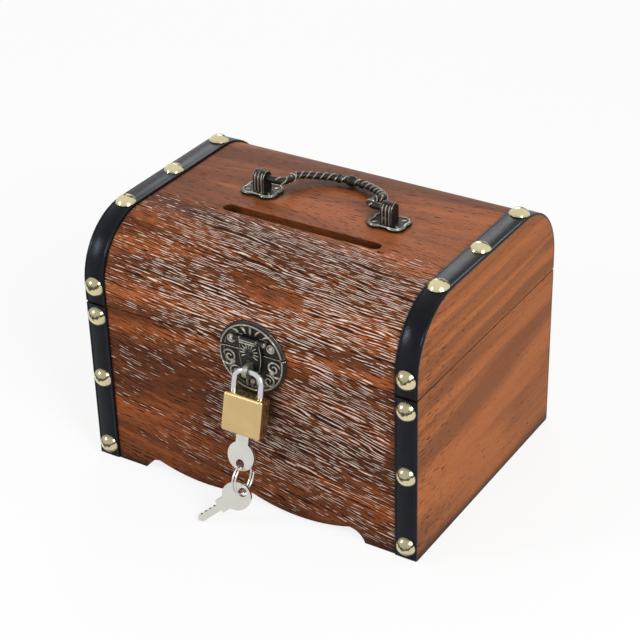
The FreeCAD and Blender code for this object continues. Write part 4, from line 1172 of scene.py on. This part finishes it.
def area_lamp(name, place, aim, size, power):
    """A square soft lamp that shines at a point."""
    lamp = bpy.data.lights.new(name, "AREA")
    lamp.size = size
    lamp.energy = power
    holder = bpy.data.objects.new(name, lamp)
    holder.location = place
    holder.rotation_euler = (Vector(aim) - Vector(place)).to_track_quat("-Z", "Y").to_euler()
    bpy.context.scene.collection.objects.link(holder)


def seen_directly(tree):
    """One for camera, glossy and transmission rays, so that metal shows the same white as the camera."""
    rays = tree.nodes.new("ShaderNodeLightPath").outputs
    total = rays["Is Camera Ray"]
    for name in ("Is Glossy Ray", "Is Transmission Ray"):
        step = tree.nodes.new("ShaderNodeMath")
        step.operation = "MAXIMUM"
        tree.links.new(total, step.inputs[0])
        tree.links.new(rays[name], step.inputs[1])
        total = step.outputs[0]
    return total


def white_world(ambient):
    """A world that looks white, and lights the box at a plain level."""
    world = bpy.data.worlds.new("studio_light")
    world.use_nodes = True
    tree = world.node_tree
    background = tree.nodes["Background"]
    background.inputs["Color"].default_value = (1, 1, 1, 1)
    level = tree.nodes.new("ShaderNodeMapRange")
    level.inputs["To Min"].default_value = ambient
    tree.links.new(seen_directly(tree), level.inputs["Value"])
    tree.links.new(level.outputs["Result"], background.inputs["Strength"])
    bpy.context.scene.world = world


def floor_finish(tone, shadow):
    """Pale matt floor that reads as white, and keeps a soft share of its shadow."""
    material = bpy.data.materials.new("pale_floor")
    material.use_nodes = True
    tree = material.node_tree
    tree.nodes.clear()
    matt = tree.nodes.new("ShaderNodeBsdfDiffuse")
    matt.inputs["Color"].default_value = as_rgba(tone)
    glow = tree.nodes.new("ShaderNodeEmission")
    share_of_glow = tree.nodes.new("ShaderNodeMath")
    share_of_glow.operation = "MULTIPLY"
    share_of_glow.inputs[1].default_value = 1 - shadow
    blend = tree.nodes.new("ShaderNodeMixShader")
    out = tree.nodes.new("ShaderNodeOutputMaterial")
    tree.links.new(seen_directly(tree), share_of_glow.inputs[0])
    tree.links.new(share_of_glow.outputs[0], blend.inputs["Fac"])
    tree.links.new(matt.outputs[0], blend.inputs[1])
    tree.links.new(glow.outputs[0], blend.inputs[2])
    tree.links.new(blend.outputs[0], out.inputs["Surface"])
    return material


def add_camera(eye, focal_length):
    """The camera, at the photograph's place and angle."""
    lens = bpy.data.cameras.new("camera")
    lens.lens = focal_length
    lens.sensor_width = FRAME_WIDTH
    lens.clip_start = NEAR_CLIP
    camera = bpy.data.objects.new("camera", lens)
    camera.matrix_world = Matrix.Translation(Vector(eye)) @ Matrix(CAMERA_AXES).transposed().to_4x4()
    bpy.context.scene.collection.objects.link(camera)
    bpy.context.scene.camera = camera


class MONEYBOX_OT_stage(bpy.types.Operator):
    """Sets the floor, the soft lamps and the camera"""
    bl_idname = "money_box.stage"
    bl_label = "Set the stage"

    def execute(self, context):
        stage = context.scene.money_box_stage
        mesh = bpy.data.meshes.new("floor")
        work = bmesh.new()
        bmesh.ops.create_grid(work, x_segments=1, y_segments=1, size=FLOOR_HALF)
        work.to_mesh(mesh)
        work.free()
        mesh.materials.append(floor_finish(stage.floor, stage.shadow))
        floor = bpy.data.objects.new("floor", mesh)
        floor.location.z = CAD_BOX[0][2] - FLOOR_GAP
        context.scene.collection.objects.link(floor)

        white_world(stage.ambient)
        for lamp in LAMPS:
            area_lamp(*lamp)
        add_camera(stage.eye, stage.lens)
        context.scene.view_settings.view_transform = "Standard"
        return {"FINISHED"}


STEPS = (MONEYBOX_OT_boards, MONEYBOX_OT_straps, MONEYBOX_OT_dome_nails, MONEYBOX_OT_hinges,
         MONEYBOX_OT_hasp, MONEYBOX_OT_handle, MONEYBOX_OT_padlock, MONEYBOX_OT_keys, MONEYBOX_OT_stage)


class MONEYBOX_PT_panel(bpy.types.Panel):
    """Lists the steps of the finish"""
    bl_idname = "MONEYBOX_PT_panel"
    bl_label = "Money box"
    bl_space_type = "VIEW_3D"
    bl_region_type = "UI"
    bl_category = "Money box"

    def draw(self, context):
        for step in STEPS:
            self.layout.operator(step.bl_idname)


GROUPS = {"money_box_wood": WoodSettings, "money_box_straps": StrapSettings,
          "money_box_metal": MetalSettings, "money_box_stage": StageSettings}


def register():
    """Adds the settings, the steps and the panel to Blender."""
    for name, group in GROUPS.items():
        bpy.utils.register_class(group)
        setattr(bpy.types.Scene, name, PointerProperty(type=group))
    for kind in (*STEPS, MONEYBOX_PT_panel):
        bpy.utils.register_class(kind)


def unregister():
    """Takes the panel, the steps and the settings out again."""
    for kind in reversed((*STEPS, MONEYBOX_PT_panel)):
        bpy.utils.unregister_class(kind)
    for name, group in reversed(GROUPS.items()):
        delattr(bpy.types.Scene, name)
        bpy.utils.unregister_class(group)


def main():
    """Runs every step in order."""
    register()
    for step in STEPS:
        group, name = step.bl_idname.split(".")
        getattr(getattr(bpy.ops, group), name)()


if __name__ == "__main__":
    main()
